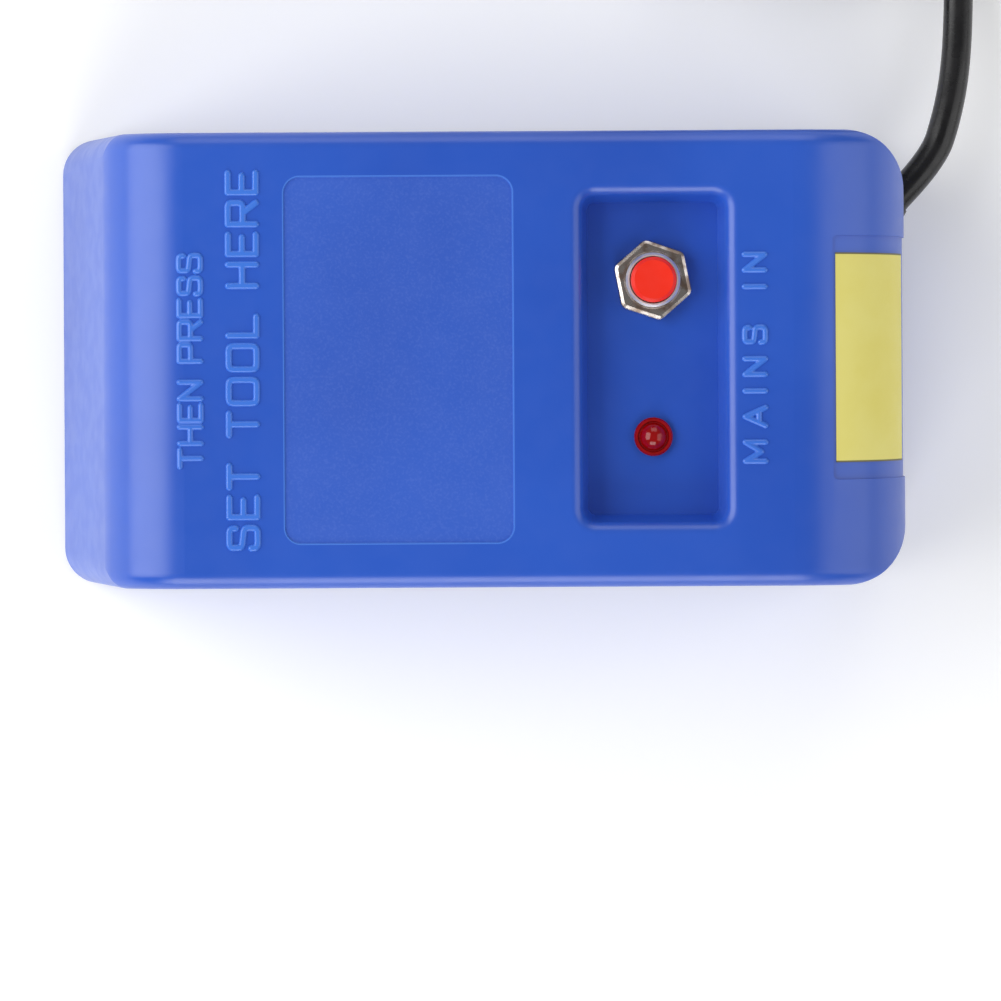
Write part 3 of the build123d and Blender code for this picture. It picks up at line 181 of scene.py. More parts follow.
# ---------------------------------------------------------------------------
# Finishes
# ---------------------------------------------------------------------------
class Graph:
    """Node tree of one finish, with short calls to add nodes."""

    def __init__(self, name: str) -> None:
        """Start a finish with a bare principled shader called name."""
        self.material = bpy.data.materials.new(name)
        self.material.use_nodes = True
        self.nodes = self.material.node_tree.nodes
        self.links = self.material.node_tree.links
        self.shader = self.nodes["Principled BSDF"]
        self.place = self.nodes.new("ShaderNodeTexCoord").outputs["Object"]

    def add(self, kind: str, inputs: dict, **settings: object) -> bpy.types.Node:
        """Add a node.

        Args:
            kind: Type of the node.
            inputs: Value or feeding socket of each input, by name or number.
            **settings: Properties of the node itself.

        Returns:
            The node.
        """
        node = self.nodes.new(kind)
        for key, value in settings.items():
            setattr(node, key, value)
        for key, value in inputs.items():
            self.feed(node.inputs[key], value)
        return node

    def feed(self, socket: bpy.types.NodeSocket, value: object) -> None:
        """Join an output to the socket, or set the socket's own value."""
        if isinstance(value, bpy.types.NodeSocket):
            self.links.new(value, socket)
        else:
            socket.default_value = value

    def shade(self, **inputs: object) -> None:
        """Set or feed inputs of the shader, named with _ for each space."""
        for key, value in inputs.items():
            if isinstance(value, tuple) and len(value) == 3:
                value = (*value, 1.0)
            self.feed(self.shader.inputs[key.replace("_", " ")], value)

    def stretched(self, scale: Point) -> bpy.types.NodeSocket:
        """Place on the piece, scaled along each axis."""
        return self.add("ShaderNodeMapping", {"Vector": self.place, "Scale": scale}).outputs[0]

    def noise(self, per_metre: float, detail: float = 2.0, place: object = None) -> bpy.types.NodeSocket:
        """Soft noise from 0 to 1.

        Args:
            per_metre: Number of lumps in a metre.
            detail: Octaves of finer noise in it.
            place: Socket to read the place from, or None for the piece's own.

        Returns:
            The noise's value.
        """
        inputs = {"Vector": place or self.place, "Scale": per_metre, "Detail": detail}
        return self.add("ShaderNodeTexNoise", inputs).outputs[0]

    def remap(
        self, value: object, low: float, high: float, to_low: float, to_high: float
    ) -> bpy.types.NodeSocket:
        """Carry a value from one range to another, smoothly and within its ends.

        Args:
            value: Socket with the value.
            low: Value that becomes to_low.
            high: Value that becomes to_high.
            to_low: Result at low.
            to_high: Result at high.

        Returns:
            The result.
        """
        inputs = {"Value": value, "From Min": low, "From Max": high, "To Min": to_low, "To Max": to_high}
        return self.add("ShaderNodeMapRange", inputs, interpolation_type="SMOOTHSTEP").outputs[0]

    def sum(self, operation: str, a: object, b: object) -> bpy.types.NodeSocket:
        """Work out one sum of two values."""
        return self.add("ShaderNodeMath", {0: a, 1: b}, operation=operation).outputs[0]

    def blend(self, share: object, a: object, b: object) -> bpy.types.NodeSocket:
        """Blend two colours.

        Args:
            share: How much of the second colour there is.
            a: First colour, or a socket with it.
            b: Second colour, or a socket with it.

        Returns:
            The blended colour.
        """
        node = self.add("ShaderNodeMix", {0: share}, data_type="RGBA")
        for number, colour in ((6, a), (7, b)):
            self.feed(node.inputs[number], (*colour, 1.0) if isinstance(colour, tuple) else colour)
        return node.outputs[2]

    def relief(
        self, height: object, depth: float, strength: float = 1.0, under: object = None
    ) -> bpy.types.NodeSocket:
        """Raise and sink the surface a little.

        Args:
            height: Socket with the height, from 0 to 1.
            depth: Real depth of the relief in metres.
            strength: Share of the relief that shows.
            under: Relief that this one lies on, if any.

        Returns:
            The surface's direction.
        """
        inputs = {"Height": height, "Distance": depth, "Strength": strength}
        if under is not None:
            inputs["Normal"] = under
        return self.add("ShaderNodeBump", inputs).outputs[0]


@dataclass(frozen=True)
class CasingPlastic:
    """Blue moulded plastic, satin outside and spark-eroded in the tool pad, with painted sparkle glints in
    the pad and a painted highlight line along the pad's edge.
    """

    name: str = "blue_casing_plastic"
    colour: Colour = (0.0190, 0.0980, 0.5500)
    deep: Colour = (0.0150, 0.0820, 0.4900)
    # Lighter blue of the painted sparkle glints in the tool pad.
    pad_sparkle_glint: Colour = (0.2400, 0.3600, 0.8200)
    roughness: float = 0.32
    shine: float = 0.72
    # Colour of the painted highlight line along the pad's edge.
    line: Colour = (0.0900, 0.2600, 0.8000)
    pad_middle: float = -14.0 * MM
    pad_half: tuple[float, float] = (20.6 * MM, 33.0 * MM)
    pad_corner: float = 3.0 * MM
    pad_z: float = 51.5 * MM
    edge: float = 0.15 * MM
    grain_depth: float = 0.020 * MM
    pad_extra_roughness: float = 0.12

    def past(self, g: Graph, value: object, middle: float, half: float) -> bpy.types.NodeSocket:
        """How far a place lies past the straight part of the pad's side, or 0 within it."""
        away = g.sum("ABSOLUTE", g.sum("SUBTRACT", value, middle), 0.0)
        return g.sum("MAXIMUM", g.sum("SUBTRACT", away, half - self.pad_corner), 0.0)

    def build(self) -> bpy.types.Material:
        """Make the finish."""
        g = Graph(self.name)
        xyz = g.add("ShaderNodeSeparateXYZ", {0: g.place}).outputs
        past_x = self.past(g, xyz[0], self.pad_middle, self.pad_half[0])
        past_y = self.past(g, xyz[1], 0.0, self.pad_half[1])
        corner = g.add("ShaderNodeCombineXYZ", {0: past_x, 1: past_y}).outputs[0]
        reach = g.add("ShaderNodeVectorMath", {0: corner}, operation="LENGTH").outputs["Value"]
        high = g.remap(xyz[2], self.pad_z - self.edge, self.pad_z, 0.0, 1.0)
        pad = g.sum("MULTIPLY", g.remap(reach, self.pad_corner - self.edge, self.pad_corner, 1.0, 0.0), high)
        # Painted highlight: a thin ring along the pad's edge is lightened towards the line colour.
        off_edge = g.sum("ABSOLUTE", g.sum("SUBTRACT", reach, self.pad_corner), 0.0)
        painted_edge_highlight = g.sum("MULTIPLY", g.remap(off_edge, 0.5 * self.edge, 1.6 * self.edge, 0.7, 0.0), high)
        cloud = g.noise(16.0, 3.0)
        sparkle = g.noise(2200.0, 1.0)
        body = g.blend(g.remap(cloud, 0.35, 0.65, 0.0, 1.0), self.colour, self.deep)
        # Painted sparkle glints: the pad's colour is lightened in fine flecks; the pad's grain itself is the
        # bump below.
        body = g.blend(g.sum("MULTIPLY", pad, g.remap(sparkle, 0.45, 0.75, 0.02, 0.09)), body, self.pad_sparkle_glint)
        waves = g.relief(g.noise(55.0, 1.0), 0.25 * MM, 0.08)
        rough = g.remap(g.noise(240.0, 2.0), 0.3, 0.7, self.roughness - 0.02, self.roughness + 0.03)
        rise = g.remap(pad, 0.0, 1.0, 0.08, 0.7)
        g.shade(
            Base_Color=g.blend(painted_edge_highlight, body, self.line),
            Roughness=g.sum("ADD", rough, g.sum("MULTIPLY", pad, self.pad_extra_roughness)),
            Specular_IOR_Level=self.shine,
            Normal=g.relief(g.sum("MULTIPLY", sparkle, rise), self.grain_depth, 0.45, waves),
        )
        return g.material


@dataclass(frozen=True)
class Moulded:
    """Moulded plastic or rubber of one colour, with grain and slight clouding."""

    name: str
    colour: Colour
    roughness: float = 0.4
    cloud: float = 0.12
    grain: float = 2400.0
    depth: float = 0.015 * MM
    coat: float = 0.0

    def build(self) -> bpy.types.Material:
        """Make the finish."""
        g = Graph(self.name)
        darker = tuple(c * (1.0 - self.cloud) for c in self.colour)
        lighter = tuple(min(1.0, c * (1.0 + self.cloud) + 0.002) for c in self.colour)
        g.shade(
            Base_Color=g.blend(g.remap(g.noise(90.0, 4.0), 0.3, 0.7, 0.0, 1.0), darker, lighter),
            Roughness=g.remap(g.noise(400.0, 3.0), 0.3, 0.7, self.roughness - 0.04, self.roughness + 0.05),
            Normal=g.relief(g.noise(self.grain, 2.0), self.depth, 0.5),
            Coat_Weight=self.coat,
        )
        return g.material


@dataclass(frozen=True)
class PlatedMetal:
    """Plated or bare metal with stains and fine tool marks; on the switch nut the brown blotches are painted
    reflection.
    """

    name: str
    colour: Colour
    stain_and_painted_reflection: Colour
    roughness: float = 0.2
    stain_and_reflection_share: float = 0.6
    marks: Point = (300.0, 300.0, 4000.0)

    def build(self) -> bpy.types.Material:
        """Make the finish."""
        g = Graph(self.name)
        blotch = g.noise(420.0, 6.0)
        marks = g.noise(1.0, 3.0, g.stretched(self.marks))
        g.shade(
            Base_Color=g.blend(g.remap(blotch, 0.42, 0.66, 0.0, self.stain_and_reflection_share), self.colour, self.stain_and_painted_reflection),
            Metallic=1.0,
            Roughness=g.remap(blotch, 0.35, 0.7, self.roughness, self.roughness + 0.16),
            Normal=g.relief(marks, 0.008 * MM, 0.4, g.relief(g.noise(1900.0, 3.0), 0.012 * MM, 0.5)),
        )
        return g.material


@dataclass(frozen=True)
class ClearPlastic:
    """See-through plastic or glass with faint flow marks."""

    name: str
    colour: Colour
    clear: float = 0.5
    roughness: float = 0.06

    def build(self) -> bpy.types.Material:
        """Make the finish."""
        g = Graph(self.name)
        darker = tuple(c * 0.75 for c in self.colour)
        g.shade(
            Base_Color=g.blend(g.remap(g.noise(260.0, 3.0), 0.3, 0.7, 0.0, 1.0), self.colour, darker),
            Roughness=g.remap(g.noise(700.0, 2.0), 0.3, 0.7, self.roughness, self.roughness + 0.05),
            Transmission_Weight=self.clear,
            IOR=1.49,
            Normal=g.relief(g.noise(500.0, 2.0), 0.010 * MM, 0.3),
        )
        return g.material


@dataclass(frozen=True)
class LabelStock:
    """Yellow coated sticker with a thin dark line along both short edges."""

    name: str = "yellow_label_stock"
    colour: Colour = (0.8000, 0.7050, 0.1450)
    faded: Colour = (0.8300, 0.7500, 0.2000)
    line: Colour = (0.0300, 0.0280, 0.0200)
    half_width: float = 18.9 * MM
    line_width: float = 0.35 * MM

    def build(self) -> bpy.types.Material:
        """Make the finish."""
        g = Graph(self.name)
        across = g.sum("ABSOLUTE", g.add("ShaderNodeSeparateXYZ", {0: g.place}).outputs[1], 0.0)
        start = self.half_width - self.line_width
        edge = g.remap(across, start, start + 0.1 * MM, 0.0, 0.85)
        fibre = g.noise(1.0, 4.0, g.stretched((900.0, 2600.0, 900.0)))
        paper = g.blend(g.remap(g.noise(70.0, 4.0), 0.3, 0.7, 0.0, 1.0), self.colour, self.faded)
        paper = g.blend(g.remap(fibre, 0.5, 0.8, 0.0, 0.25), paper, self.faded)
        g.shade(
            Base_Color=g.blend(edge, paper, self.line),
            Roughness=g.remap(fibre, 0.3, 0.7, 0.42, 0.52),
            Normal=g.relief(fibre, 0.006 * MM, 0.5),
        )
        return g.material


@dataclass(frozen=True)
class Layered:
    """Material made of thin layers or turns that run across one axis."""

    name: str
    colour: Colour
    gap: Colour
    axis: str = "Z"
    pitch: float = 0.5 * MM
    metal: float = 0.0
    roughness: float = 0.4

    def build(self) -> bpy.types.Material:
        """Make the finish."""
        g = Graph(self.name)
        wave_turn = math.tau / 20.0
        inputs = {"Vector": g.place, "Scale": wave_turn / self.pitch, "Distortion": 0.25, "Detail": 1.0}
        wave = g.add("ShaderNodeTexWave", inputs, bands_direction=self.axis).outputs[1]
        layers = g.blend(g.remap(wave, 0.0, 0.4, 1.0, 0.0), self.colour, self.gap)
        tint = g.remap(g.noise(130.0, 4.0), 0.3, 0.7, 0.0, 0.35)
        g.shade(
            Base_Color=g.blend(tint, layers, self.gap),
            Metallic=self.metal,
            Roughness=g.remap(g.noise(800.0, 3.0), 0.3, 0.7, self.roughness, self.roughness + 0.12),
            Normal=g.relief(wave, 0.12 * MM, 0.6),
        )
        return g.material


@dataclass(frozen=True)
class FloorPaint:
    """Pale, even floor with the faintest clouding."""

    name: str = "pale_floor"
    colour: Colour = (0.99, 0.99, 0.985)
    shade_colour: Colour = (0.965, 0.965, 0.965)
    glow: float = 0.10

    def build(self) -> bpy.types.Material:
        """Make the finish."""
        g = Graph(self.name)
        g.shade(
            Base_Color=g.blend(g.noise(5.0, 2.0), self.colour, self.shade_colour),
            Roughness=0.9,
            Specular_IOR_Level=0.1,
            Emission_Color=self.colour,
            Emission_Strength=self.glow,
        )
        return g.material


# ---------------------------------------------------------------------------
# Studio
# ---------------------------------------------------------------------------
@dataclass
class Softbox:
    """One square area light that looks at the object."""

    name: str
    place: Point
    size: float
    power: float
    colour: Colour = (1.0, 1.0, 1.0)
    aim: Point = (0.0, 0.0, 0.03)

    def build(self) -> None:
        """Hang the light and turn it to its aim."""
        light = bpy.data.lights.new(self.name, "AREA")
        light.shape = "SQUARE"
        light.size = self.size
        light.energy = self.power
        light.color = self.colour
        lamp = bpy.data.objects.new(self.name, light)
        lamp.location = self.place
        direction = Vector(self.aim) - Vector(self.place)
        lamp.rotation_mode = "QUATERNION"
        lamp.rotation_quaternion = direction.to_track_quat("-Z", "Y")
        bpy.context.scene.collection.objects.link(lamp)


@dataclass
class Studio:
    """Camera straight above, a pale floor and soft light all round."""

    camera_height: float = 0.800
    lens: float = 149.8
    shift: tuple[float, float] = (0.024, -0.141)
    roll: float = -0.33
    floor_size: float = 6.0
    world_strength: float = 0.17
    boxes: tuple[Softbox, ...] = (
        Softbox("softbox_left", (-0.95, 0.10, 0.70), 1.2, 13.7),
        Softbox("softbox_right", (1.05, -0.10, 0.66), 1.2, 5.6),
        Softbox("softbox_front", (-0.10, -1.00, 0.55), 0.8, 6.8),
        Softbox("softbox_back", (0.10, 1.00, 0.55), 0.8, 2.9),
    )

    def build(self) -> None:
        """Set up the camera, the floor, the lights and the room's light."""
        self.camera()
        self.floor()
        for box in self.boxes:
            box.build()
        world = bpy.data.worlds.new("soft_room")
        world.use_nodes = True
        sky = world.node_tree.nodes["Background"]
        sky.inputs["Color"].default_value = (0.97, 0.98, 1.0, 1.0)
        sky.inputs["Strength"].default_value = self.world_strength
        bpy.context.scene.world = world
        bpy.context.scene.view_settings.view_transform = "Standard"

    def camera(self) -> None:
        """Hang the camera over the casing, looking straight down."""
        data = bpy.data.cameras.new("camera")
        data.lens = self.lens
        data.shift_x, data.shift_y = self.shift
        data.clip_start, data.clip_end = 0.01, 50.0
        camera = bpy.data.objects.new("camera", data)
        camera.location = (0.0, 0.0, self.camera_height)
        camera.rotation_euler = (0.0, 0.0, math.radians(self.roll))
        bpy.context.scene.collection.objects.link(camera)
        bpy.context.scene.camera = camera

    def floor(self) -> None:
        """Lay the floor, cut into a finer grid."""
        bpy.ops.object.select_all(action="DESELECT")
        bpy.ops.mesh.primitive_plane_add(size=self.floor_size)
        floor = started("floor")
        bpy.ops.object.mode_set(mode="EDIT")
        bpy.ops.mesh.select_all(action="SELECT")
        bpy.ops.mesh.subdivide(number_cuts=3)
        bpy.ops.object.mode_set(mode="OBJECT")
        dress(floor, FloorPaint().build())


# ---------------------------------------------------------------------------
# Raised lettering
# ---------------------------------------------------------------------------
# Each letter is its width and its strokes, for capitals one unit high.  A
# stroke of two points is straight, and a longer one is rounded off.
BOWL: Stroke = ((0.0, 1.0), (0.34, 1.0), (0.64, 1.0), (0.64, 0.74), (0.64, 0.47), (0.34, 0.47), (0.0, 0.47))
LETTERS: dict[str, tuple[float, tuple[Stroke, ...]]] = {
    "A": (0.74, (((0.0, 0.0), (0.37, 1.0)), ((0.37, 1.0), (0.74, 0.0)), ((0.13, 0.32), (0.61, 0.32)))),
    "C": (
        0.68,
        (
            (
                (0.68, 0.74), (0.66, 1.0), (0.36, 1.02), (0.0, 1.0), (0.0, 0.5),
                (0.0, 0.0), (0.36, -0.02), (0.66, 0.0), (0.68, 0.26),
            ),
        ),
    ),
    "E": (
        0.58,
        (
            ((0.0, 0.0), (0.0, 1.0)),
            ((0.0, 1.0), (0.58, 1.0)),
            ((0.0, 0.5), (0.5, 0.5)),
            ((0.0, 0.0), (0.58, 0.0)),
        ),
    ),
    "H": (0.64, (((0.0, 0.0), (0.0, 1.0)), ((0.64, 0.0), (0.64, 1.0)), ((0.0, 0.5), (0.64, 0.5)))),
    "I": (0.0, (((0.0, 0.0), (0.0, 1.0)),)),
    "L": (0.56, (((0.0, 0.0), (0.0, 1.0)), ((0.0, 0.0), (0.56, 0.0)))),
    "M": (
        0.78,
        (
            ((0.0, 0.0), (0.0, 1.0)),
            ((0.0, 1.0), (0.39, 0.22)),
            ((0.39, 0.22), (0.78, 1.0)),
            ((0.78, 1.0), (0.78, 0.0)),
        ),
    ),
    "N": (0.64, (((0.0, 0.0), (0.0, 1.0)), ((0.0, 1.0), (0.64, 0.0)), ((0.64, 0.0), (0.64, 1.0)))),
    "O": (
        0.70,
        (
            (
                (0.0, 0.5), (0.0, 0.92), (0.08, 1.0), (0.35, 1.0), (0.62, 1.0), (0.70, 0.92), (0.70, 0.5),
                (0.70, 0.08), (0.62, 0.0), (0.35, 0.0), (0.08, 0.0), (0.0, 0.08), (0.0, 0.5),
            ),
        ),
    ),
    "P": (0.62, (((0.0, 0.0), (0.0, 1.0)), BOWL)),
    "R": (0.64, (((0.0, 0.0), (0.0, 1.0)), BOWL, ((0.34, 0.47), (0.64, 0.0)))),
    "S": (
        0.62,
        (
            (
                (0.60, 0.78), (0.58, 1.0), (0.31, 1.01), (0.02, 1.0), (0.02, 0.76),
                (0.03, 0.56), (0.31, 0.52),
                (0.60, 0.48), (0.62, 0.25), (0.60, 0.0), (0.31, -0.01), (0.02, 0.0), (0.0, 0.22),
            ),
        ),
    ),
    "T": (0.64, (((0.0, 1.0), (0.64, 1.0)), ((0.32, 0.0), (0.32, 1.0)))),
    ".": (0.0, (((0.0, 0.0), (0.0, 0.03)),)),
    " ": (0.30, ()),
}


def cut_corners(points: Stroke, rounds: int = 3) -> Stroke:
    """Round a stroke off by cutting its corners again and again.

    Args:
        points: The stroke's points.
        rounds: How often its corners are cut.

    Returns:
        The rounded stroke, with the same two ends.
    """
    for _ in range(rounds if len(points) > 2 else 0):
        cut = [points[0]]
        for (ax, ay), (bx, by) in zip(points, points[1:]):
            cut.append((ax * 0.75 + bx * 0.25, ay * 0.75 + by * 0.25))
            cut.append((ax * 0.25 + bx * 0.75, ay * 0.25 + by * 0.75))
        points = (*cut, points[-1])
    return points


@dataclass
class RaisedLine:
    """One line of raised capitals that reads along +Y, with its tops towards -X."""

    name: str
    text: str
    baseline: float
    height: float
    length: float
    middle: float = 0.0
    stroke: float = 1.10
    rise: float = 0.40
    voxel: float = 0.10
    depth: float = 0.18
    widen: float = 1.2
    round_steps: tuple[float, ...] = (30.0, 58.0, 80.0)
    tube_share: float = 0.56
    soften_rounds: int = 3
    cut_z: float = -0.12
    crisp_angle: float = 60.0

    def strokes(self) -> list[list[Point]]:
        """Lay the letters out in millimetres, on a flat face at height 0."""
        cap = self.height - self.stroke
        widths = [LETTERS[c][0] * cap * self.widen for c in self.text]
        gap = (self.length - self.stroke - sum(widths)) / (len(self.text) - 1)
        along = self.middle - (self.length - self.stroke) / 2
        foot = self.baseline - self.stroke / 2
        laid = []
        for char, width in zip(self.text, widths):
            for points in LETTERS[char][1]:
                rounded = cut_corners(points)
                laid.append([(foot - v * cap, along + u * cap * self.widen, 0.0) for u, v in rounded])
            along += width + gap
        return laid

    def capped(self, points: list[Point], radius: float) -> list[tuple[Vector, float]]:
        """Add half-round ends to a stroke.

        Args:
            points: The stroke's points.
            radius: Radius of the stroke.

        Returns:
            Each point with the share of the radius that it has.
        """
        line = [Vector(p) for p in points]
        first = (line[0] - line[1]).normalized() * radius
        last = (line[-1] - line[-2]).normalized() * radius
        steps = [math.radians(a) for a in self.round_steps]
        before = [(line[0] + first * math.sin(a), math.cos(a)) for a in reversed(steps)]
        after = [(line[-1] + last * math.sin(a), math.cos(a)) for a in steps]
        return before + [(p, 1.0) for p in line] + after

    def build(self, finish: bpy.types.Material, top: float, bend_start: float, bend_radius: float) -> None:
        """Make the line and let it ride on the casing.

        Args:
            finish: The casing's finish.
            top: Height of the casing's top face, in metres.
            bend_start: Where the top face starts to bend down, in metres.
            bend_radius: Radius of that bend, in metres.
        """
        radius = self.stroke * self.tube_share
        curve = bpy.data.curves.new(self.name, "CURVE")
        curve.dimensions = "3D"
        curve.bevel_depth = radius
        curve.bevel_resolution = 4
        curve.use_fill_caps = True
        for points in self.strokes():
            capped = self.capped(points, radius)
            spline = curve.splines.new("POLY")
            spline.points.add(len(capped) - 1)
            for knot, (place, share) in zip(spline.points, capped):
                knot.co = (*place, 1.0)
                knot.radius = share
        obj = bpy.data.objects.new(self.name, curve)
        bpy.context.scene.collection.objects.link(obj)
        only(obj)
        bpy.ops.object.convert(target="MESH")
        obj = bpy.context.active_object
        join = obj.modifiers.new("join", "REMESH")
        join.mode = "VOXEL"
        join.voxel_size = self.voxel
        applied(obj)
        sunk = self.depth
        for vertex in obj.data.vertices:
            vertex.co.z = min(vertex.co.z - sunk, self.rise)
        soften = obj.modifiers.new("soften", "SMOOTH")
        soften.factor = 0.5
        soften.iterations = self.soften_rounds
        applied(obj)
        only(obj)
        bpy.ops.object.mode_set(mode="EDIT")
        bpy.ops.mesh.select_all(action="SELECT")
        bpy.ops.mesh.bisect(plane_co=(0, 0, self.cut_z), plane_no=(0, 0, 1), clear_inner=True, use_fill=True)
        bpy.ops.object.mode_set(mode="OBJECT")
        obj.scale = (MM, MM, MM)
        obj.location = (0.0, 0.0, top)
        settled(obj)
        for vertex in obj.data.vertices:
            past = max(0.0, bend_start - vertex.co.x)
            vertex.co.z -= past * past / (2 * bend_radius)
        smoothed(obj, self.crisp_angle)
        dress(obj, finish)
        seat(obj, "housing", "casing")


@dataclass
class Casing:
    """The moulded shell with its raised lettering, sticker, base and feet."""

    top_bend_start: float = -52.6 * MM
    top_bend_radius: float = 16.0 * MM
    lines: tuple[RaisedLine, ...] = (
        RaisedLine("lettering_long", "SET TOOL HERE", -38.9, 6.2, 68.6, stroke=1.2),
        RaisedLine("lettering_short", "THEN PRESS", -49.0, 4.9, 39.0, stroke=1.05),
        RaisedLine("lettering_end", "MAINS IN", 52.4, 4.7, 38.2, stroke=1.05),
    )

    def build(self) -> None:
        """Dress the shell and raise its lettering."""
        plastic = CasingPlastic().build()
        dress(bpy.data.objects["casing"], plastic)
        # The lettering is moulded in the casing's own blue; this lighter copy of that plastic is painted
        # light on the raised strokes.
        pale = CasingPlastic("lettering_plastic_painted_lighter", (0.0420, 0.1800, 0.7200), (0.0380, 0.1600, 0.6800))
        raised = pale.build()
        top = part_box("casing")[1].z
        for line in self.lines:
            line.build(raised, top, self.top_bend_start, self.top_bend_radius)
        dress(bpy.data.objects["rating_label"], LabelStock().build())
        base = Moulded("black_base_plastic", (0.018, 0.018, 0.020), 0.5, grain=1500.0, depth=0.04 * MM)
        dress(bpy.data.objects["base_plate"], base.build())
        rubber = Moulded("foot_rubber", (0.030, 0.030, 0.031), 0.75, grain=1300.0, depth=0.05 * MM)
        dress(bpy.data.objects["rubber_feet"], rubber.build())


# ---------------------------------------------------------------------------
# Mains lead
# ---------------------------------------------------------------------------
def ease(value: float, start: float, end: float) -> float:
    """Share from 0 to 1 of the way from start to end, eased at both."""
    t = min(1.0, max(0.0, (value - start) / (end - start)))
    return t * t * (3.0 - 2.0 * t)


@dataclass
class MainsLead:
    """The free cord with its relief, its put-away coil, its tie and its plug."""

    diameter: float = 5.6 * MM
    length: float = 1.05
    route: tuple[Point, ...] = (
        (79.7, 30.2, 12.5),
        (86.50, 37.20, 12.5),
        (89.2, 45.1, 11.8),
        (91.1, 53.9, 10.0),
        (92.1, 65.0, 7.4),
        (92.35, 78.0, 4.9),
        (92.3, 91.0, 3.6),
        (92.3, 101.0, 3.4),
    )
    coil_centre: tuple[float, float] = (57.8, 110.0)
    outer_turn: float = 34.5
    turn_pitch: float = 5.75
    low_z: float = 3.45
    step: float = 20.0
    tail_angle: float = 105.0
    whole_turns: int = 5
    inward: tuple[tuple[float, float], ...] = ((280.0, 345.0), (640.0, 705.0))
    climb: tuple[float, float] = (977.0, 1042.0)
    outward: tuple[tuple[float, float], ...] = ((1314.0, 1379.0), (1674.0, 1739.0))
    tail: tuple[tuple[float, float], ...] = ((6.0, 9.2), (13.0, 8.8), (20.0, 7.35), (27.0, 7.05))

    def coil_point(self, angle: float) -> Point:
        """Point of the coil at an angle that counts on through its turns."""
        radius = self.outer_turn
        radius -= self.turn_pitch * sum(ease(angle, *zone) for zone in self.inward)
        radius += self.turn_pitch * sum(ease(angle, *zone) for zone in self.outward)
        radius /= math.cos(math.radians(self.step / 2))
        z = self.low_z + self.turn_pitch * ease(angle, *self.climb)
        a = math.radians(angle)
        return (self.coil_centre[0] + radius * math.cos(a), self.coil_centre[1] + radius * math.sin(a), z)

    def points(self) -> list[Point]:
        """Every point of the cord's line in metres, from the casing to the plug."""
        last = 360.0 * self.whole_turns + self.tail_angle
        line = list(self.route)
        for number in range(int(last // self.step)):
            line.append(self.coil_point(self.step * number))
        a = math.radians(self.tail_angle)
        start_x = self.coil_centre[0] + self.outer_turn * math.cos(a)
        start_y = self.coil_centre[1] + self.outer_turn * math.sin(a)
        for distance, z in self.tail:
            line.append((start_x - distance * math.sin(a), start_y + distance * math.cos(a), z))
        return [(x * MM, y * MM, z * MM) for x, y, z in line]

    def build(self) -> None:
        """Lay the cord and dress what is on it."""
        rubber = Moulded("black_cord_jacket", (0.0075, 0.0072, 0.0080), 0.27, grain=1800.0, depth=0.02 * MM)
        jacket = rubber.build()
        line = self.points()
        curve = bpy.data.curves.new("lead_cord", "CURVE")
        curve.dimensions = "3D"
        curve.bevel_depth = self.diameter / 2
        curve.bevel_resolution = 6
        curve.resolution_u = 10
        spline = curve.splines.new("NURBS")
        spline.points.add(len(line) - 1)
        for knot, place in zip(spline.points, line):
            knot.co = (*place, 1.0)
        spline.order_u = 3
        spline.use_endpoint_u = True
        cord = bpy.data.objects.new("lead_cord", curve)
        bpy.context.scene.collection.objects.link(cord)
        dress(cord, jacket)
        seat(cord, "housing", "cord_pvc", "cord_run", "cord_coil", "cord_tail")
        for node in ("cord_gland", "cord_sheath"):
            dress(bpy.data.objects[node], jacket)
        plug = Moulded("black_plug_plastic", (0.014, 0.014, 0.015), 0.36, grain=1500.0, depth=0.03 * MM)
        dress(bpy.data.objects["plug_body"], plug.build())
        brass = PlatedMetal("plug_blade_nickel", (0.72, 0.68, 0.58), (0.50, 0.42, 0.28), 0.22)
        dress(bpy.data.objects["plug_blades"], brass.build())
        strap = Moulded("white_tie_strap", (0.62, 0.62, 0.60), 0.45)
        dress(bpy.data.objects["cord_tie"], strap.build())


# ---------------------------------------------------------------------------
# Button, lamp and what is inside
# ---------------------------------------------------------------------------
@dataclass
class PushButton:
    """The momentary switch with its red cap, hex nut and return spring."""

    spring_keep: float = 0.72

    def build(self) -> None:
        """Dress the switch and put a smoothed copy of its spring on the housing."""
        nodes = bpy.data.objects
        # The brown blotches on the chrome nut are painted reflection, not stains.
        chrome = PlatedMetal("nut_chrome_painted_reflection", (0.70, 0.64, 0.59), (0.25, 0.17, 0.12), 0.20, 0.85)
        dress(nodes["switch_nut"], chrome.build())
        nickel = PlatedMetal("bushing_nickel", (0.92, 0.91, 0.89), (0.70, 0.68, 0.64), 0.46, 0.4).build()
        for node in ("switch_bushing", "switch_washer"):
            dress(nodes[node], nickel)
        cap = Moulded("red_button_plastic", (0.92, 0.026, 0.008), 0.36, cloud=0.05)
        dress(nodes["button_cap"], cap.build())
        dress(nodes["button_stem"], Moulded("stem_nylon", (0.55, 0.53, 0.48), 0.5).build())
        dress(nodes["switch_body"], Moulded("switch_phenolic", (0.020, 0.018, 0.017), 0.45).build())
        tinned = PlatedMetal("tinned_brass", (0.70, 0.66, 0.55), (0.42, 0.36, 0.25), 0.3).build()
        dress(nodes["switch_terminals"], tinned)
        dress(nodes["contact_disc"], tinned)
        spring = merged_copy("switch_spring", "return_spring")
        dress(spring, PlatedMetal("spring_steel", (0.55, 0.55, 0.55), (0.30, 0.27, 0.24), 0.25).build())
        seat(spring, "housing", "spring_steel", "switch_spring")
        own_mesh(spring)


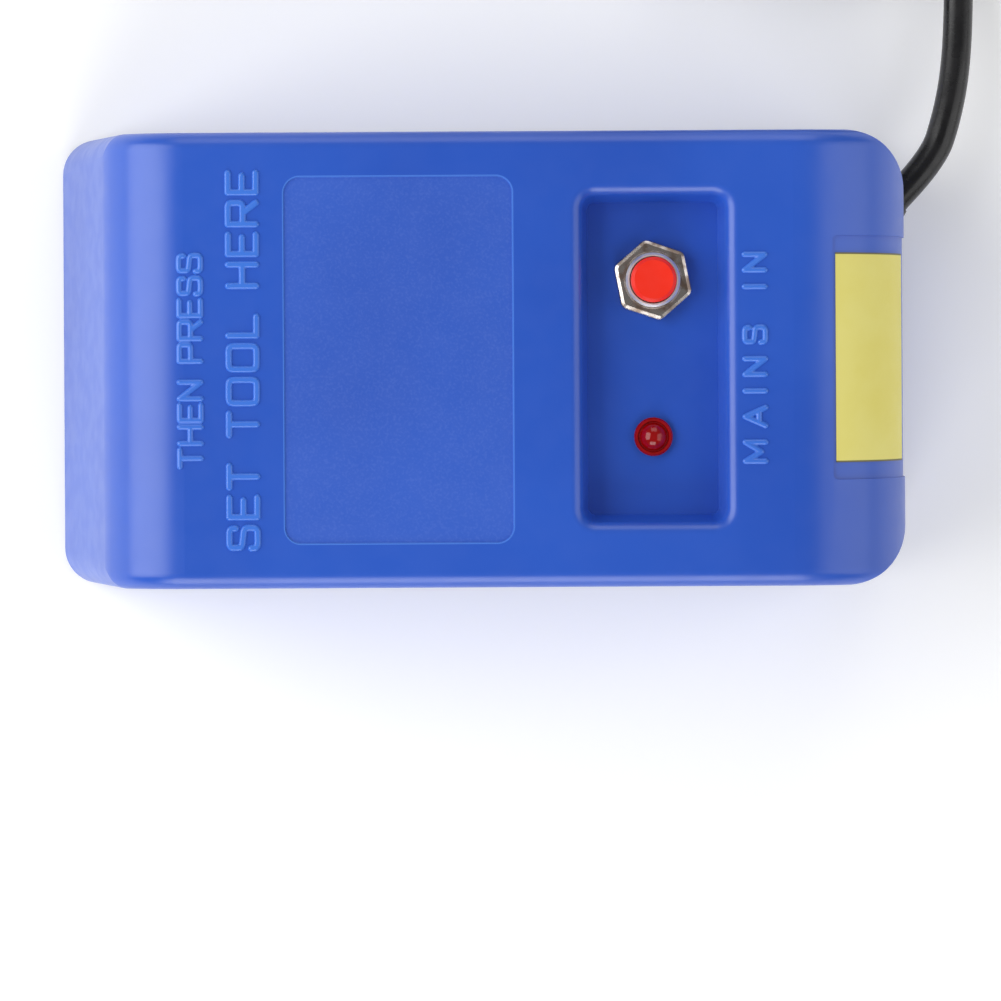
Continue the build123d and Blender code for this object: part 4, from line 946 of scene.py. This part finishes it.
@dataclass
class PilotLamp:
    """The red lens in its hole, with the lamp and resistor under it."""

    def build(self) -> None:
        """Dress the lamp."""
        nodes = bpy.data.objects
        dress(nodes["lamp_lens"], ClearPlastic("red_lamp_lens", (0.55, 0.003, 0.004), 0.35, 0.05).build())
        dress(nodes["lamp_bulb"], ClearPlastic("lamp_glass", (0.95, 0.80, 0.62), 0.85, 0.02).build())
        clip = PlatedMetal("lamp_clip_steel", (0.60, 0.60, 0.60), (0.35, 0.33, 0.30), 0.3)
        dress(nodes["lamp_clip"], clip.build())
        banded = Layered("resistor_bands", (0.62, 0.50, 0.33), (0.22, 0.07, 0.03), "Z", 2.0 * MM)
        dress(nodes["lamp_resistor"], banded.build())


class Inside(Enum):
    """Finish of each piece that the shell hides, by node."""

    CORE = (
        "core_laminations",
        Layered("silicon_steel", (0.42, 0.42, 0.44), (0.12, 0.11, 0.11), "X", 0.5 * MM, 0.9),
    )
    BOARD = ("core_insulator", Moulded("fibre_board", (0.26, 0.10, 0.05), 0.7, cloud=0.2))
    BOBBIN = ("coil_bobbin", Moulded("bobbin_nylon", (0.72, 0.70, 0.62), 0.5))
    WINDING = (
        "coil_winding",
        Layered("enamelled_copper", (0.72, 0.24, 0.08), (0.16, 0.04, 0.01), "Z", 0.45 * MM, 0.9, 0.25),
    )
    TAPE = (
        "coil_tape",
        Layered("winding_tape", (0.78, 0.62, 0.10), (0.62, 0.47, 0.06), "Z", 9.0 * MM, 0.0, 0.3),
    )
    FUSE = ("thermal_fuse", Layered("fuse_sleeve", (0.70, 0.70, 0.66), (0.50, 0.48, 0.40), "Y", 6.0 * MM))
    LEFT = ("core_bracket_left", PlatedMetal("bracket_zinc", (0.60, 0.60, 0.62), (0.44, 0.42, 0.36), 0.35))
    RIGHT = (
        "core_bracket_right",
        PlatedMetal("bracket_zinc_right", (0.60, 0.60, 0.62), (0.44, 0.42, 0.36), 0.35),
    )
    BOLTS = ("core_bolts", PlatedMetal("bolt_zinc", (0.58, 0.58, 0.60), (0.42, 0.40, 0.34), 0.3))
    WASHERS = ("core_washers", PlatedMetal("washer_zinc", (0.62, 0.62, 0.63), (0.44, 0.42, 0.36), 0.3))
    NUTS = ("core_nuts", PlatedMetal("core_nut_zinc", (0.60, 0.60, 0.62), (0.42, 0.40, 0.34), 0.3))
    FIXINGS = (
        "bracket_screws",
        PlatedMetal("bracket_screw_zinc", (0.60, 0.60, 0.62), (0.42, 0.40, 0.34), 0.3),
    )
    BASE = ("base_screws", PlatedMetal("base_screw_zinc", (0.62, 0.62, 0.64), (0.40, 0.37, 0.32), 0.28))
    CLAMP = ("cord_clamp", Moulded("clamp_nylon", (0.05, 0.05, 0.05), 0.5))
    CLAMPING = ("clamp_screws", PlatedMetal("clamp_screw_zinc", (0.60, 0.60, 0.62), (0.42, 0.40, 0.34), 0.3))
    CAPS = ("splice_caps", Moulded("splice_cap_nylon", (0.60, 0.55, 0.42), 0.45))
    LIVE = ("live_wire", Moulded("brown_wire", (0.16, 0.055, 0.020), 0.4))
    NEUTRAL = ("neutral_wire", Moulded("blue_wire", (0.03, 0.10, 0.42), 0.4))
    SWITCHED = ("switched_wire", Moulded("red_wire", (0.50, 0.025, 0.020), 0.4))
    LEADS = ("coil_leads", Moulded("yellow_wire", (0.75, 0.55, 0.04), 0.4))
    LAMP = ("lamp_wires", Moulded("black_wire", (0.02, 0.02, 0.02), 0.4))


def dress_inside() -> None:
    """Dress every piece that the shell hides."""
    for part in Inside:
        node, finish = part.value
        dress(bpy.data.objects[node], finish.build())
        LOG.info("%s has its finish", node)


def main() -> None:
    """Build every sub-assembly in order."""
    logging.basicConfig(level=logging.INFO, format="%(name)s: %(message)s")
    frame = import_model()
    LOG.info("frame has %d nodes", len(frame["nodes"]))
    for part in (Studio(), MainsLead(), Casing(), PushButton(), PilotLamp()):
        part.build()
        LOG.info("%s is built", type(part).__name__)
    dress_inside()


if __name__ == "__main__":
    main()
